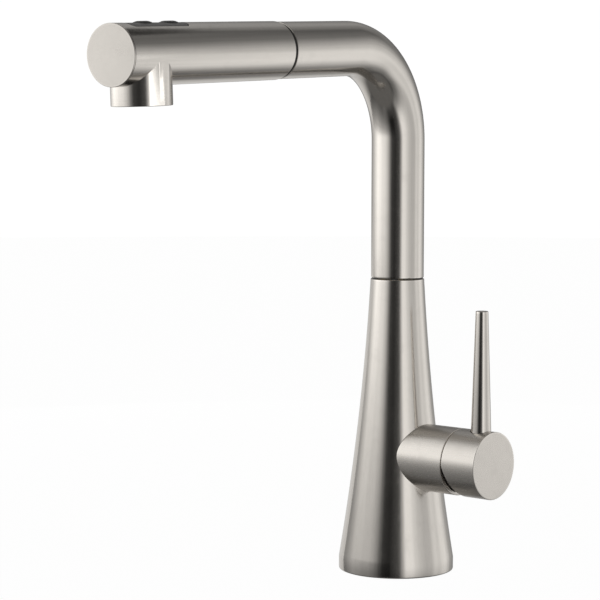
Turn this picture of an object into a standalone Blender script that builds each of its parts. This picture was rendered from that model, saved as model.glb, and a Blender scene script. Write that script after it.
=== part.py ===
"""Pull-down kitchen faucet: flared body, swivel L spout, pull-out spray head and side lever.

The origin is on the body's axis at the deck. +Z is up, the spout reaches towards -Y and the
valve with its lever stands out along +X. Every size below is in millimetres.
"""
import math

import bmesh
import bpy
from mathutils import Matrix, Vector

MM = 0.001

# ---- clearances -----------------------------------------------------------------------------
GAP = 0.3                 # between two pieces that touch or run on each other
CUT = 2.0                 # how far a cutter runs past what it cuts

# ---- facets ---------------------------------------------------------------------------------
SHELL_SIDES = 32          # pieces that are seen
INNER_SIDES = 20          # pieces inside
DRILL_SIDES = 12          # drillings, pins and screws

# ---- spout ----------------------------------------------------------------------------------
TUBE_R = 17.0
TUBE_WALL = 1.6
TUBE_IN_R = TUBE_R - TUBE_WALL
BEND_R = 57.1
BEND_STEPS = 8
SPOUT_TURN = 5.4          # the spout stands turned this far towards the lever, degrees
SPOUT_SWEEP = 90.0        # the swivel's stop, either side of straight ahead, degrees
ARM_DROOP = 2.43          # the arm slopes down towards the head, degrees
ARM_RISE = 148.6          # from the body's top to where the arm's axis meets the neck's axis
SEAM_T = 130.9            # the rubber ring, measured along the arm from the neck's axis
SEAM_W = 2.0
SEAM_INSET = 0.2
SEAM_RING_R = TUBE_R - SEAM_INSET
HEAD_START_T = SEAM_T + SEAM_W + GAP

# ---- body -----------------------------------------------------------------------------------
BODY_TOP_Z = 189.1
BODY_LIP = 0.3            # the body's top stands out this much round the neck
BODY_TOP_R = TUBE_R + BODY_LIP
BODY_WALL = 2.3
BODY_STATIONS = 7
FOOT_R = 37.2
FOOT_BAND = 8.0           # straight band at the foot
FOOT_ROUND = 1.4
FLARE_STRAIGHT = 0.51     # share of the taper that is straight, the rest is a parabola
TOP_WALL = 2.0            # round the swivel's bore
TOP_BORE_R = BODY_TOP_R - TOP_WALL
TOP_BORE_LENGTH = 31.0
SEAM_LINE = 1.0           # between the body's top and the neck
NECK_BOTTOM_Z = BODY_TOP_Z + SEAM_LINE
ARM_Z = BODY_TOP_Z + ARM_RISE

# ---- swivel ---------------------------------------------------------------------------------
WASHER_T = 0.4
WASHER_INSET = 0.4
WASHER_R = TUBE_R - WASHER_INSET
BUSH_WALL = 0.8
BUSH_R = TOP_BORE_R - GAP
SHANK_R = BUSH_R - BUSH_WALL - GAP
SHANK_WALL = 4.1
SHANK_BORE_R = SHANK_R - SHANK_WALL
SHANK_LENGTH = 28.0       # below the neck
SHANK_HOLD = 26.0         # inside the neck
SLIP_RING_T = 1.8
SLIP_RING_DEPTH = 0.6
SLIP_RING_FROM_TOP = 5.0
SLIP_RING_FROM_END = 3.0
STOP_R = 1.9
STOP_DEPTH = 2.0
STOP_DROP = 13.8          # the stop screw's axis below the body's top
STOP_Z = BODY_TOP_Z - STOP_DROP

# ---- valve ----------------------------------------------------------------------------------
VALVE_Z = 75.2
VALVE_R = 21.4            # sleeve and handle cap
SLEEVE_WALL = 2.0
SLEEVE_END_X = 52.9
BARREL_PLAY = 1.4         # between the barrel and the sleeve
BARREL_WALL = 2.7
SLEEVE_IN_R = VALVE_R - SLEEVE_WALL
BARREL_R = SLEEVE_IN_R - BARREL_PLAY
BARREL_START_X = 4.0
PORT_X = 8.0
COLUMN_PLAY = 2.2         # between the column and the body's wall
COLUMN_HOSE_ROOM = 0.6

# ---- cartridge ------------------------------------------------------------------------------
CHAMBER_R = BARREL_R - BARREL_WALL
CARTRIDGE_R = CHAMBER_R - GAP
CARTRIDGE_WALL = 1.8
CARTRIDGE_BORE_R = CARTRIDGE_R - CARTRIDGE_WALL
CARTRIDGE_LENGTH = 30.5   # from its base to its shoulder
CARTRIDGE_BASE_T = 5.0
CARTRIDGE_STEP = 4.0      # from the cartridge's side in to its neck
CARTRIDGE_NECK_R = CARTRIDGE_R - CARTRIDGE_STEP
CARTRIDGE_NECK_LENGTH = 6.5
CARTRIDGE_NECK_OUT = 1.0  # the neck ends this far past the barrel
CARTRIDGE_ROOF_T = 3.5
NUT_LIP = 0.6             # the nut's flange stands out over the barrel
NUT_FLANGE_R = BARREL_R + NUT_LIP
NUT_FLANGE_T = 2.1
NUT_SINK = 0.5            # the nut lies this far inside the sleeve's end
BARREL_END_X = SLEEVE_END_X - NUT_SINK - NUT_FLANGE_T - GAP
CARTRIDGE_NECK_END_X = BARREL_END_X + CARTRIDGE_NECK_OUT
CARTRIDGE_SHOULDER_X = CARTRIDGE_NECK_END_X - CARTRIDGE_NECK_LENGTH
BASE_X = CARTRIDGE_SHOULDER_X - CARTRIDGE_LENGTH
CHAMBER_FLOOR_X = BASE_X - GAP
DISC_T = 3.5
DISC_PLAY = 0.6
FIXED_DISC_R = CARTRIDGE_BORE_R - DISC_PLAY
FIXED_DISC_X = BASE_X + CARTRIDGE_BASE_T + GAP
MOVING_DISC_X = FIXED_DISC_X + DISC_T + GAP
MIXING_SHARE = 0.65       # of the moving disc's radius, the hollow under it
CARRIER_X = MOVING_DISC_X + DISC_T + GAP
CARRIER_T = 3.8
ROTOR_X = CARRIER_X + CARRIER_T + GAP
ROTOR_R = CARTRIDGE_BORE_R - GAP
ROTOR_NECK_WALL = 2.1     # of the cartridge's neck, round the rotor
ROTOR_NECK_R = CARTRIDGE_NECK_R - ROTOR_NECK_WALL - GAP
ROTOR_NECK_SINK = 0.4
ROTOR_END_X = CARTRIDGE_NECK_END_X - ROTOR_NECK_SINK
PORT_SPREAD = 0.635 * FIXED_DISC_R
PORT_R = 0.375 * PORT_SPREAD
PORT_BRANCH_R = 0.3 * PORT_SPREAD
SIDE_PORT_DROP = 0.5 * PORT_SPREAD
MIDDLE_PORT_RISE = 0.625 * PORT_SPREAD
PORT_PLACES = [(-PORT_SPREAD, -SIDE_PORT_DROP), (PORT_SPREAD, -SIDE_PORT_DROP), (0.0, MIDDLE_PORT_RISE)]
PIVOT_DEPTH = 6.9         # the stem rocks this far inside the sleeve's end
PIVOT_X = SLEEVE_END_X - PIVOT_DEPTH
FLOW_ANGLE = 17.5         # lever travel from shut to full flow, degrees
STEM_TILT = FLOW_ANGLE / 2
STEM_HALF = 2.8           # half the side of the square stem
STEM_FOOT_R = 2.0
FOOT_SINK = 1.0           # the middle of the stem's foot lies this deep in the carrier
FOOT_PLAY = 0.5           # round the stem's foot in its pocket
STEM_FOOT = PIVOT_X - ROTOR_X + FOOT_SINK
DISC_SHIFT = STEM_FOOT * math.radians(FLOW_ANGLE) / 2    # either side of the valve's axis
MOVING_DISC_R = CARTRIDGE_BORE_R - DISC_SHIFT - GAP
PIN_R = 1.2

# ---- handle ---------------------------------------------------------------------------------
CAP_SEAM = 0.6            # between the sleeve and the cap
CAP_LENGTH = 25.4
CAP_START_X = SLEEVE_END_X + CAP_SEAM
CAP_END_X = CAP_START_X + CAP_LENGTH
CAP_WALL = 2.2
CAP_RECESS = 7.5          # depth of the recess
CAP_RECESS_X = CAP_START_X + CAP_RECESS
CAP_BOSS_R = 8.0
CAP_BOSS_LENGTH = 4.7
CAP_BOSS_START_X = CAP_RECESS_X - CAP_BOSS_LENGTH
CAP_EDGE = 0.4
CAP_BEVEL_ANGLE = 18.5    # lower half of the rim, so that the cap can tip
STEM_COVER = 12.6         # of the cap, past the stem's end
STEM_OUT = CAP_END_X - STEM_COVER - PIVOT_X
STEM_TOP = STEM_OUT * math.tan(math.radians(STEM_TILT)) + STEM_HALF / math.cos(math.radians(STEM_TILT))
LEVER_FROM_END = 10.3
LEVER_X = CAP_END_X - LEVER_FROM_END
LEVER_LENGTH = 96.9       # from the valve's axis to the tip
LEVER_TOP_R = 4.0
LEVER_BASE_R = 6.6
LEVER_SINK = 7.0          # how deep the lever stands in the cap
LEVER_SEAT = VALVE_R - LEVER_SINK
LEVER_STUD_R = 3.0
LEVER_STUD_END = STEM_TOP + 3 * GAP
GRUB_BACK = 4.4           # the grub screw's axis, from the lever's
GRUB_X = LEVER_X - GRUB_BACK
GRUB_R = 2.2
GRUB_L = 9.0
PLUG_T = 2.0

# ---- dock and head --------------------------------------------------------------------------
DOCK_WALL = 1.7
DOCK_BORE_R = TUBE_IN_R - GAP - DOCK_WALL
DOCK_LENGTH = 26.0
HEAD_STEP = 0.35          # the head stands out this much round the arm
HEAD_R = TUBE_R + HEAD_STEP
HEAD_WALL = 1.75
HEAD_IN_R = HEAD_R - HEAD_WALL
HEAD_FIT_R = HEAD_IN_R - GAP
HEAD_LENGTH = 145.0
HEAD_END_T = HEAD_START_T + HEAD_LENGTH
END_CAP_RIM = 1.2
END_CAP_DEPTH = 8.0
END_CAP_WALL = 2.0
END_CAP_T = HEAD_END_T - END_CAP_RIM - END_CAP_DEPTH
END_SEAL_W = 2.0
END_SEAL_DEPTH = 0.8
NOZZLE_INSET = 0.15
NOZZLE_R = HEAD_R - NOZZLE_INSET
NOZZLE_LENGTH = 10.85     # below the head's underside
NOZZLE_DROP = HEAD_R + NOZZLE_LENGTH
NOZZLE_MARGIN = 7.7       # between the nozzle's side and the head's end
NOZZLE_T = HEAD_END_T - NOZZLE_MARGIN - NOZZLE_R

# ---- buttons --------------------------------------------------------------------------------
PLATE_BACK = 9.6          # from the nozzle's axis to the middle of the button plate
PLATE_T = NOZZLE_T - PLATE_BACK
PLATE_LENGTH = 48.0
PLATE_WIDTH = 16.0
PLATE_CORNER_R = 2.0
PLATE_THICK = 0.8
PLATE_POCKET = 1.15
PLATE_GROOVE = 0.8        # visible groove round the plate
STREAM_SHIFT = 7.1        # from the middle of the plate to the stream button
BUTTON_SPACING = 22.3
STREAM_BUTTON_T = PLATE_T + STREAM_SHIFT
SPRAY_BUTTON_T = STREAM_BUTTON_T - BUTTON_SPACING
BUTTON_LENGTH = 13.4
BUTTON_WIDTH = 8.8
BUTTON_RISE = 0.85
BUTTON_TOP = HEAD_R + BUTTON_RISE
BUTTON_DOME = 1.1
BUTTON_EDGE = 0.2
BUTTON_FOOT = HEAD_IN_R
BUTTON_TRAVEL = 1.5
SPRING_ROOM = 4.1         # under the buttons
WATERWAY_FLAT = HEAD_IN_R - SPRING_ROOM
PLUNGER_R = 2.2
PLUNGER_DEPTH = 3.0       # in the waterway
PLUNGER_ROOM = 0.5        # left under a pressed plunger
PLUNGER_TIP = WATERWAY_FLAT - PLUNGER_DEPTH
PLUNGER_BORE_END = PLUNGER_TIP - BUTTON_TRAVEL - PLUNGER_ROOM
SPRING_WIRE_R = 0.3
SPRING_R = 3.4
SPRING_TURNS = 3

# ---- inside the head ------------------------------------------------------------------------
WATERWAY_INSET = 2.6
WATERWAY_R = HEAD_IN_R - WATERWAY_INSET
WATERWAY_BORE_R = 5.0
END_ROOM = 3.0            # between the waterway and the end cap
WATERWAY_END_T = END_CAP_T - END_ROOM
WATERWAY_FLANGE = 4.0
AERATOR_WALL = 1.9
AERATOR_HEIGHT = 9.1
AERATOR_R = NOZZLE_R - HEAD_WALL - GAP
AERATOR_IN_R = AERATOR_R - AERATOR_WALL
BRANCH_INSET = 1.65
BRANCH_R = AERATOR_R - BRANCH_INSET
BRANCH_WALL = 4.5
BRANCH_BORE_R = BRANCH_R - BRANCH_WALL
BRANCH_DROP = NOZZLE_DROP - AERATOR_HEIGHT - 2 * GAP
FACE_RECESS = 0.8
FACE_T = 3.2
MESH_T = 2.4

# ---- hose -----------------------------------------------------------------------------------
HOSE_R = 6.0
FERRULE_WALL = 1.5
FERRULE_R = HOSE_R + FERRULE_WALL
FERRULE_L = 15.0
NUT_STEP = 0.7
HOSE_NUT_R = FERRULE_R + NUT_STEP
HOSE_NUT_L = 10.5
SPIGOT_PLAY = 0.4
SPIGOT_R = DOCK_BORE_R - GAP
SPIGOT_BORE_R = HOSE_NUT_R + SPIGOT_PLAY
SPIGOT_LENGTH = 20.0
SPIGOT_TAPER = 1.2
SPIGOT_TAPER_LENGTH = 4.0
SPIGOT_FLANGE_T = 4.5
WATERWAY_START_T = HEAD_START_T + SPIGOT_FLANGE_T + GAP
HOSE_NUT_T = WATERWAY_START_T - GAP - HOSE_NUT_L
FERRULE_T = HOSE_NUT_T - GAP - FERRULE_L
CHECK_VALVE_R = WATERWAY_BORE_R - GAP
CHECK_VALVE_L = 10.0
NIPPLE_L = 7.0
HOSE_LEAD = 2.0           # straight end of the hose's bend
HOSE_STEPS = 8
HOSE_VALVE_ROOM = 7.4
HOSE_SHIFT_TOP_Z = BODY_TOP_Z - TOP_BORE_LENGTH
HOSE_SHIFT_LOW_Z = VALVE_Z + VALVE_R + HOSE_VALVE_ROOM
COUPLING_TOP_Z = 22.0
COUPLING_STEP = 0.6
COUPLING_STEP_LENGTH = 12.0
COUPLING_WALL = 0.7
COUPLING_R = HOSE_R + COUPLING_WALL

NICKEL = ("satin_nickel", (0.62, 0.60, 0.57), 0.30, 1.0)
BRASS = ("brass", (0.72, 0.56, 0.28), 0.35, 1.0)
STEEL = ("stainless_steel", (0.60, 0.60, 0.60), 0.30, 1.0)
RUBBER = ("black_rubber", (0.02, 0.02, 0.02), 0.70, 0.0)
DARK_PLASTIC = ("dark_plastic", (0.06, 0.06, 0.065), 0.45, 0.0)
PALE_PLASTIC = ("pale_plastic", (0.72, 0.72, 0.70), 0.50, 0.0)
CERAMIC = ("ceramic", (0.88, 0.86, 0.82), 0.20, 0.0)
BRAID = ("hose_braid", (0.10, 0.10, 0.11), 0.55, 0.0)


# ---- tools ----------------------------------------------------------------------------------
def clear_scene():
    for obj in list(bpy.data.objects):
        bpy.data.objects.remove(obj, do_unlink=True)


def new_collection(name):
    collection = bpy.data.collections.new(name)
    bpy.context.scene.collection.children.link(collection)
    return collection


def get_material(finish):
    name, colour, roughness, metallic = finish
    material = bpy.data.materials.get(name)
    if material is None:
        material = bpy.data.materials.new(name)
        material.use_nodes = True
        shader = material.node_tree.nodes["Principled BSDF"]
        shader.inputs["Base Color"].default_value = (*colour, 1.0)
        shader.inputs["Roughness"].default_value = roughness
        shader.inputs["Metallic"].default_value = metallic
        material.diffuse_color = (*colour, 1.0)
    return material


def add_object(name, data, parent, finish=None):
    """A part when it has a finish, a cutter when it has none."""
    obj = bpy.data.objects.new(name, data)
    if finish is None:
        CUTTERS.objects.link(obj)
        obj.hide_render = True
        obj.display_type = "WIRE"
    else:
        PARTS.objects.link(obj)
        data.materials.append(get_material(finish))
    obj.parent = parent
    return obj


def add_pivot(name, parent, at=(0, 0, 0), turn=(0, 0, 0)):
    pivot = bpy.data.objects.new(name, None)
    PARTS.objects.link(pivot)
    pivot.parent = parent
    pivot.location = Vector(at) * MM
    pivot.rotation_euler = [math.radians(angle) for angle in turn]
    pivot.empty_display_size = 0.02
    return pivot


def put(obj, at=(0, 0, 0), turn=(0, 0, 0)):
    obj.location = Vector(at) * MM
    obj.rotation_euler = [math.radians(angle) for angle in turn]
    return obj


def turned(name, outline, parent, finish=None, sides=INNER_SIDES, ring=True):
    """Spin (radius, height) points about Z; they run down the outer side. A ring's outline is
    closed, any other outline starts and ends on the axis."""
    mesh = bpy.data.meshes.new(name)
    points = [(radius * MM, 0.0, height * MM) for radius, height in outline]
    edges = [(i, i + 1) for i in range(len(points) - 1)]
    if ring:
        edges.append((len(points) - 1, 0))
    mesh.from_pydata(points, edges, [])
    obj = add_object(name, mesh, parent, finish)
    screw = obj.modifiers.new("turn", "SCREW")
    screw.steps = sides
    screw.render_steps = sides
    screw.use_merge_vertices = True
    screw.merge_threshold = 0.00002
    screw.use_smooth_shade = True
    return obj


def tube(name, inner, outer, low, high, parent, finish=None, sides=INNER_SIDES):
    outline = [(outer, high), (outer, low), (inner, low), (inner, high)]
    return turned(name, outline, parent, finish, sides)


def rod(name, radius, low, high, parent, finish=None, sides=INNER_SIDES):
    """A solid cylinder along Z between two heights."""
    mesh = bpy.data.meshes.new(name)
    work = bmesh.new()
    bmesh.ops.create_cone(work, cap_ends=True, segments=sides, radius1=radius * MM,
                          radius2=radius * MM, depth=(high - low) * MM)
    bmesh.ops.translate(work, verts=work.verts, vec=(0, 0, (high + low) / 2 * MM))
    work.to_mesh(mesh)
    work.free()
    mesh.shade_smooth()
    mesh.set_sharp_from_angle(angle=math.radians(40))
    return add_object(name, mesh, parent, finish)


def box(name, low, high, parent, finish=None):
    mesh = bpy.data.meshes.new(name)
    work = bmesh.new()
    bmesh.ops.create_cube(work, size=1.0)
    size = [(b - a) * MM for a, b in zip(low, high)]
    middle = [(b + a) / 2 * MM for a, b in zip(low, high)]
    bmesh.ops.scale(work, verts=work.verts, vec=size)
    bmesh.ops.translate(work, verts=work.verts, vec=middle)
    work.to_mesh(mesh)
    work.free()
    return add_object(name, mesh, parent, finish)


def prism(name, outline, low, high, parent, finish=None):
    """A flat outline in X and Y, extruded between two heights."""
    curve = bpy.data.curves.new(name + "_outline", "CURVE")
    curve.dimensions = "2D"
    curve.fill_mode = "BOTH"
    curve.extrude = (high - low) / 2 * MM
    spline = curve.splines.new("POLY")
    spline.points.add(len(outline) - 1)
    for point, (x, y) in zip(spline.points, outline):
        point.co = (x * MM, y * MM, 0.0, 1.0)
    spline.use_cyclic_u = True
    obj = curve_to_mesh(name, curve, parent, finish)
    obj.data.transform(Matrix.Translation((0, 0, (high + low) / 2 * MM)))
    return obj


def pipe(name, route, radius, parent, finish=None, resolution=2, capped=True):
    """A round bar along a route of points."""
    curve = bpy.data.curves.new(name + "_route", "CURVE")
    curve.dimensions = "3D"
    curve.bevel_depth = radius * MM
    curve.bevel_resolution = resolution
    curve.use_fill_caps = capped
    spline = curve.splines.new("POLY")
    spline.points.add(len(route) - 1)
    for point, place in zip(spline.points, route):
        point.co = (*(Vector(place) * MM), 1.0)
    return curve_to_mesh(name, curve, parent, finish)


def curve_to_mesh(name, curve, parent, finish):
    """Turn a curve into a welded mesh object and drop the curve."""
    guide = bpy.data.objects.new(name + "_guide", curve)
    CUTTERS.objects.link(guide)
    bpy.context.view_layer.update()
    evaluated = guide.evaluated_get(bpy.context.evaluated_depsgraph_get())
    mesh = bpy.data.meshes.new_from_object(evaluated)
    mesh.name = name
    bpy.data.objects.remove(guide, do_unlink=True)
    bpy.data.curves.remove(curve)
    work = bmesh.new()
    work.from_mesh(mesh)
    bmesh.ops.remove_doubles(work, verts=work.verts, dist=0.00002)
    work.to_mesh(mesh)
    work.free()
    mesh.shade_smooth()
    mesh.set_sharp_from_angle(angle=math.radians(40))
    return add_object(name, mesh, parent, finish)


def combine(target, tools, operation="DIFFERENCE"):
    for tool in tools:
        step = target.modifiers.new(operation.lower() + "_" + tool.name, "BOOLEAN")
        step.operation = operation
        step.object = tool
    return target


def rounded_outline(length, width, corner, steps=4):
    """A rectangle with round corners, length along Y and width along X."""
    points = []
    for quarter, (side_x, side_y) in enumerate(((1, 1), (-1, 1), (-1, -1), (1, -1))):
        centre_x = side_x * (width / 2 - corner)
        centre_y = side_y * (length / 2 - corner)
        for i in range(steps + 1):
            angle = math.radians(90 * quarter + 90 * i / steps)
            points.append((centre_x + corner * math.cos(angle), centre_y + corner * math.sin(angle)))
    return points


def oval_outline(length, width, count=20):
    angles = [2 * math.pi * i / count for i in range(count)]
    return [(width / 2 * math.cos(a), length / 2 * math.sin(a)) for a in angles]


# ---- shape of the body and the bend ---------------------------------------------------------
BEND_ANGLE = math.radians(90 + ARM_DROOP)
BEND_REACH = BEND_R * math.tan(BEND_ANGLE / 2)
NECK_STRAIGHT_Z = ARM_Z - BEND_REACH


def body_radius(z):
    """Outer radius of the body at a height above the deck."""
    share = (BODY_TOP_Z - z) / (BODY_TOP_Z - FOOT_BAND)
    share = min(max(share, 0.0), 1.0)
    return BODY_TOP_R + (FOOT_R - BODY_TOP_R) * (FLARE_STRAIGHT * share + (1 - FLARE_STRAIGHT) * share ** 2)


def bend_point(share):
    """A point on the centre line of the spout's bend, seen along X: (y, z)."""
    angle = BEND_ANGLE * share
    return (-BEND_R * (1 - math.cos(angle)), NECK_STRAIGHT_Z + BEND_R * math.sin(angle))


def arm_place(t):
    """A point on the arm's axis at a distance from the neck's axis, in the spout's own frame."""
    droop = math.radians(ARM_DROOP)
    return (0, -t * math.cos(droop), ARM_Z - t * math.sin(droop))


def round_place(radius, angle):
    """A point at a distance and an angle in degrees round the origin: (x, y)."""
    return (radius * math.cos(math.radians(angle)), radius * math.sin(math.radians(angle)))


# ---- foot plate -----------------------------------------------------------------------------
PLATE_BOTTOM = 1.0
PLATE_TOP = 8.0
COLUMN_BOTTOM_Z = PLATE_TOP + GAP
COLUMN_R = body_radius(VALVE_Z) - BODY_WALL - COLUMN_PLAY
SCREW_R = 1.9
SCREW_HEAD_R = 3.1
SCREW_HEAD_H = 2.7
SCREW_GRIP = 13.0         # thread length inside the valve block
SCREW_WALL = 0.85         # of the column, outside the screw's hole
SCREW_CIRCLE_R = COLUMN_R - SCREW_WALL - SCREW_R - GAP
SCREW_ANGLE = 66.4
PLATE_WEB = 0.6           # between the screws' heads and the hole for the hoses
HOSE_HOLE_R = SCREW_CIRCLE_R - SCREW_HEAD_R - GAP - PLATE_WEB
STUD_HOLE_R = 3.2
STUD_WEB = 2.0
STUD_CIRCLE_R = HOSE_HOLE_R + STUD_WEB + STUD_HOLE_R
STUD_ANGLE = 124.4
GASKET_WEB = 1.6
GASKET_IN_R = STUD_CIRCLE_R + STUD_HOLE_R + GASKET_WEB
GASKET_EDGE = 4.2         # from the foot's edge in to the gasket
GASKET_OUT_R = FOOT_R - GASKET_EDGE
GASKET_SINK = 1.0         # how deep the gasket sits in the plate
COUPLING_ROOM = 0.6       # between the hose's coupling and the edge of its hole
HOSE_X = COUPLING_R + COUPLING_ROOM - HOSE_HOLE_R
COLUMN_FACE_X = HOSE_X + COUPLING_R + COLUMN_HOSE_ROOM


# ---- body -----------------------------------------------------------------------------------
def make_body(base):
    fall = BODY_TOP_Z - FOOT_BAND
    heights = [BODY_TOP_Z - fall * i / BODY_STATIONS for i in range(BODY_STATIONS + 1)]
    outline = [(body_radius(z), z) for z in heights]
    for i in range(4):
        angle = math.radians(30 * i)
        outline.append((FOOT_R - FOOT_ROUND * (1 - math.cos(angle)), FOOT_ROUND * (1 - math.sin(angle))))
    bore_low = BODY_TOP_Z - TOP_BORE_LENGTH
    inner = [(body_radius(z) - BODY_WALL, z) for z in reversed(heights) if z < bore_low]
    outline.append((inner[0][0], 0.0))
    outline += inner
    outline.append((body_radius(bore_low) - BODY_WALL, bore_low))
    outline.append((TOP_BORE_R, bore_low))
    outline.append((TOP_BORE_R, BODY_TOP_Z))
    shell = turned("body_shell", outline, base, NICKEL, SHELL_SIDES)
    mouth = rod("body_mouth_cut", BARREL_R + GAP, 0, SLEEVE_END_X, base)
    put(mouth, (0, 0, VALVE_Z), (0, 90, 0))
    screw_hole = rod("stop_screw_cut", STOP_R + GAP, SHANK_R, BODY_TOP_R + 2 * CUT, base, sides=DRILL_SIDES)
    put(screw_hole, (0, 0, STOP_Z), (-90, 0, 0))
    combine(shell, [mouth, screw_hole])

    outer = inner[0][0] - GAP
    plate = turned("base_plate", [
        (outer, PLATE_TOP), (outer, PLATE_BOTTOM),
        (GASKET_OUT_R + GAP, PLATE_BOTTOM), (GASKET_OUT_R + GAP, PLATE_BOTTOM + GASKET_SINK),
        (GASKET_IN_R - GAP, PLATE_BOTTOM + GASKET_SINK), (GASKET_IN_R - GAP, PLATE_BOTTOM),
        (HOSE_HOLE_R, PLATE_BOTTOM), (HOSE_HOLE_R, PLATE_TOP)], base, BRASS, SHELL_SIDES)
    head_top = PLATE_BOTTOM + GAP + SCREW_HEAD_H + GAP
    screw_top = COLUMN_BOTTOM_Z + SCREW_GRIP
    screw_cuts = []
    other_cuts = []
    for side, label in ((-1, "left"), (1, "right")):
        place = (*round_place(SCREW_CIRCLE_R, side * SCREW_ANGLE), 0)
        stud_place = (*round_place(STUD_CIRCLE_R, side * STUD_ANGLE), 0)
        thread = rod("screw_cut_" + label, SCREW_R + GAP, -CUT, screw_top + GAP, base, sides=DRILL_SIDES)
        seat = rod("screw_head_cut_" + label, SCREW_HEAD_R + GAP, -CUT, head_top, base, sides=DRILL_SIDES)
        stud = rod("stud_cut_" + label, STUD_HOLE_R, -CUT, PLATE_TOP + CUT, base, sides=DRILL_SIDES)
        screw_cuts.append(put(thread, place))
        other_cuts += [put(seat, place), put(stud, stud_place)]
    combine(plate, screw_cuts + other_cuts)
    gasket_top = PLATE_BOTTOM + GASKET_SINK - GAP
    tube("deck_gasket", GASKET_IN_R, GASKET_OUT_R, 0, gasket_top, base, RUBBER, SHELL_SIDES)
    for side, label in ((-1, "left"), (1, "right")):
        bottom = PLATE_BOTTOM + GAP
        neck = bottom + SCREW_HEAD_H
        screw = turned("base_screw_" + label, [
            (0, screw_top), (SCREW_R, screw_top), (SCREW_R, neck),
            (SCREW_HEAD_R, neck), (SCREW_HEAD_R, bottom), (0, bottom)], base, STEEL, DRILL_SIDES, ring=False)
        put(screw, (*round_place(SCREW_CIRCLE_R, side * SCREW_ANGLE), 0))
    return screw_cuts


def make_valve_block(base, screw_cuts):
    block = turned("valve_block", [
        (0, CHAMBER_FLOOR_X), (CHAMBER_R, CHAMBER_FLOOR_X), (CHAMBER_R, BARREL_END_X),
        (BARREL_R, BARREL_END_X), (BARREL_R, BARREL_START_X), (0, BARREL_START_X)],
        base, BRASS, INNER_SIDES, ring=False)
    put(block, (0, 0, VALVE_Z), (0, 90, 0))
    column = rod("valve_column", COLUMN_R, COLUMN_BOTTOM_Z, VALVE_Z - CHAMBER_R - BARREL_WALL / 3, base)
    side = box("column_side_cut", (-COLUMN_R - CUT, -COLUMN_R - CUT, 0),
               (COLUMN_FACE_X, COLUMN_R + CUT, VALVE_Z), base)
    combine(column, [side])
    combine(block, [column], "UNION")
    ports = []
    for number, (y, rise) in enumerate(PORT_PLACES):
        top = VALVE_Z + rise
        port = rod("port_cut_%d" % number, PORT_R, 0, top, base, sides=DRILL_SIDES)
        ports.append(put(port, (PORT_X, y, 0)))
        branch = rod("port_branch_cut_%d" % number, PORT_BRANCH_R, PORT_X, CHAMBER_FLOOR_X + CUT, base,
                     sides=DRILL_SIDES)
        ports.append(put(branch, (0, y, VALVE_Z + rise), (0, 90, 0)))
    combine(block, ports + screw_cuts)

    sleeve = tube("valve_sleeve", SLEEVE_IN_R, VALVE_R, BARREL_START_X, SLEEVE_END_X, base, NICKEL,
                  SHELL_SIDES)
    put(sleeve, (0, 0, VALVE_Z), (0, 90, 0))
    reach = VALVE_R + CUT
    levels = [VALVE_Z + reach * (1 - i / 4) for i in range(9)]
    saddle = turned("saddle_cut", [(0, levels[0])] + [(body_radius(z) + GAP, z) for z in levels]
                    + [(0, levels[-1])], base, None, SHELL_SIDES, ring=False)
    combine(sleeve, [saddle])


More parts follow.
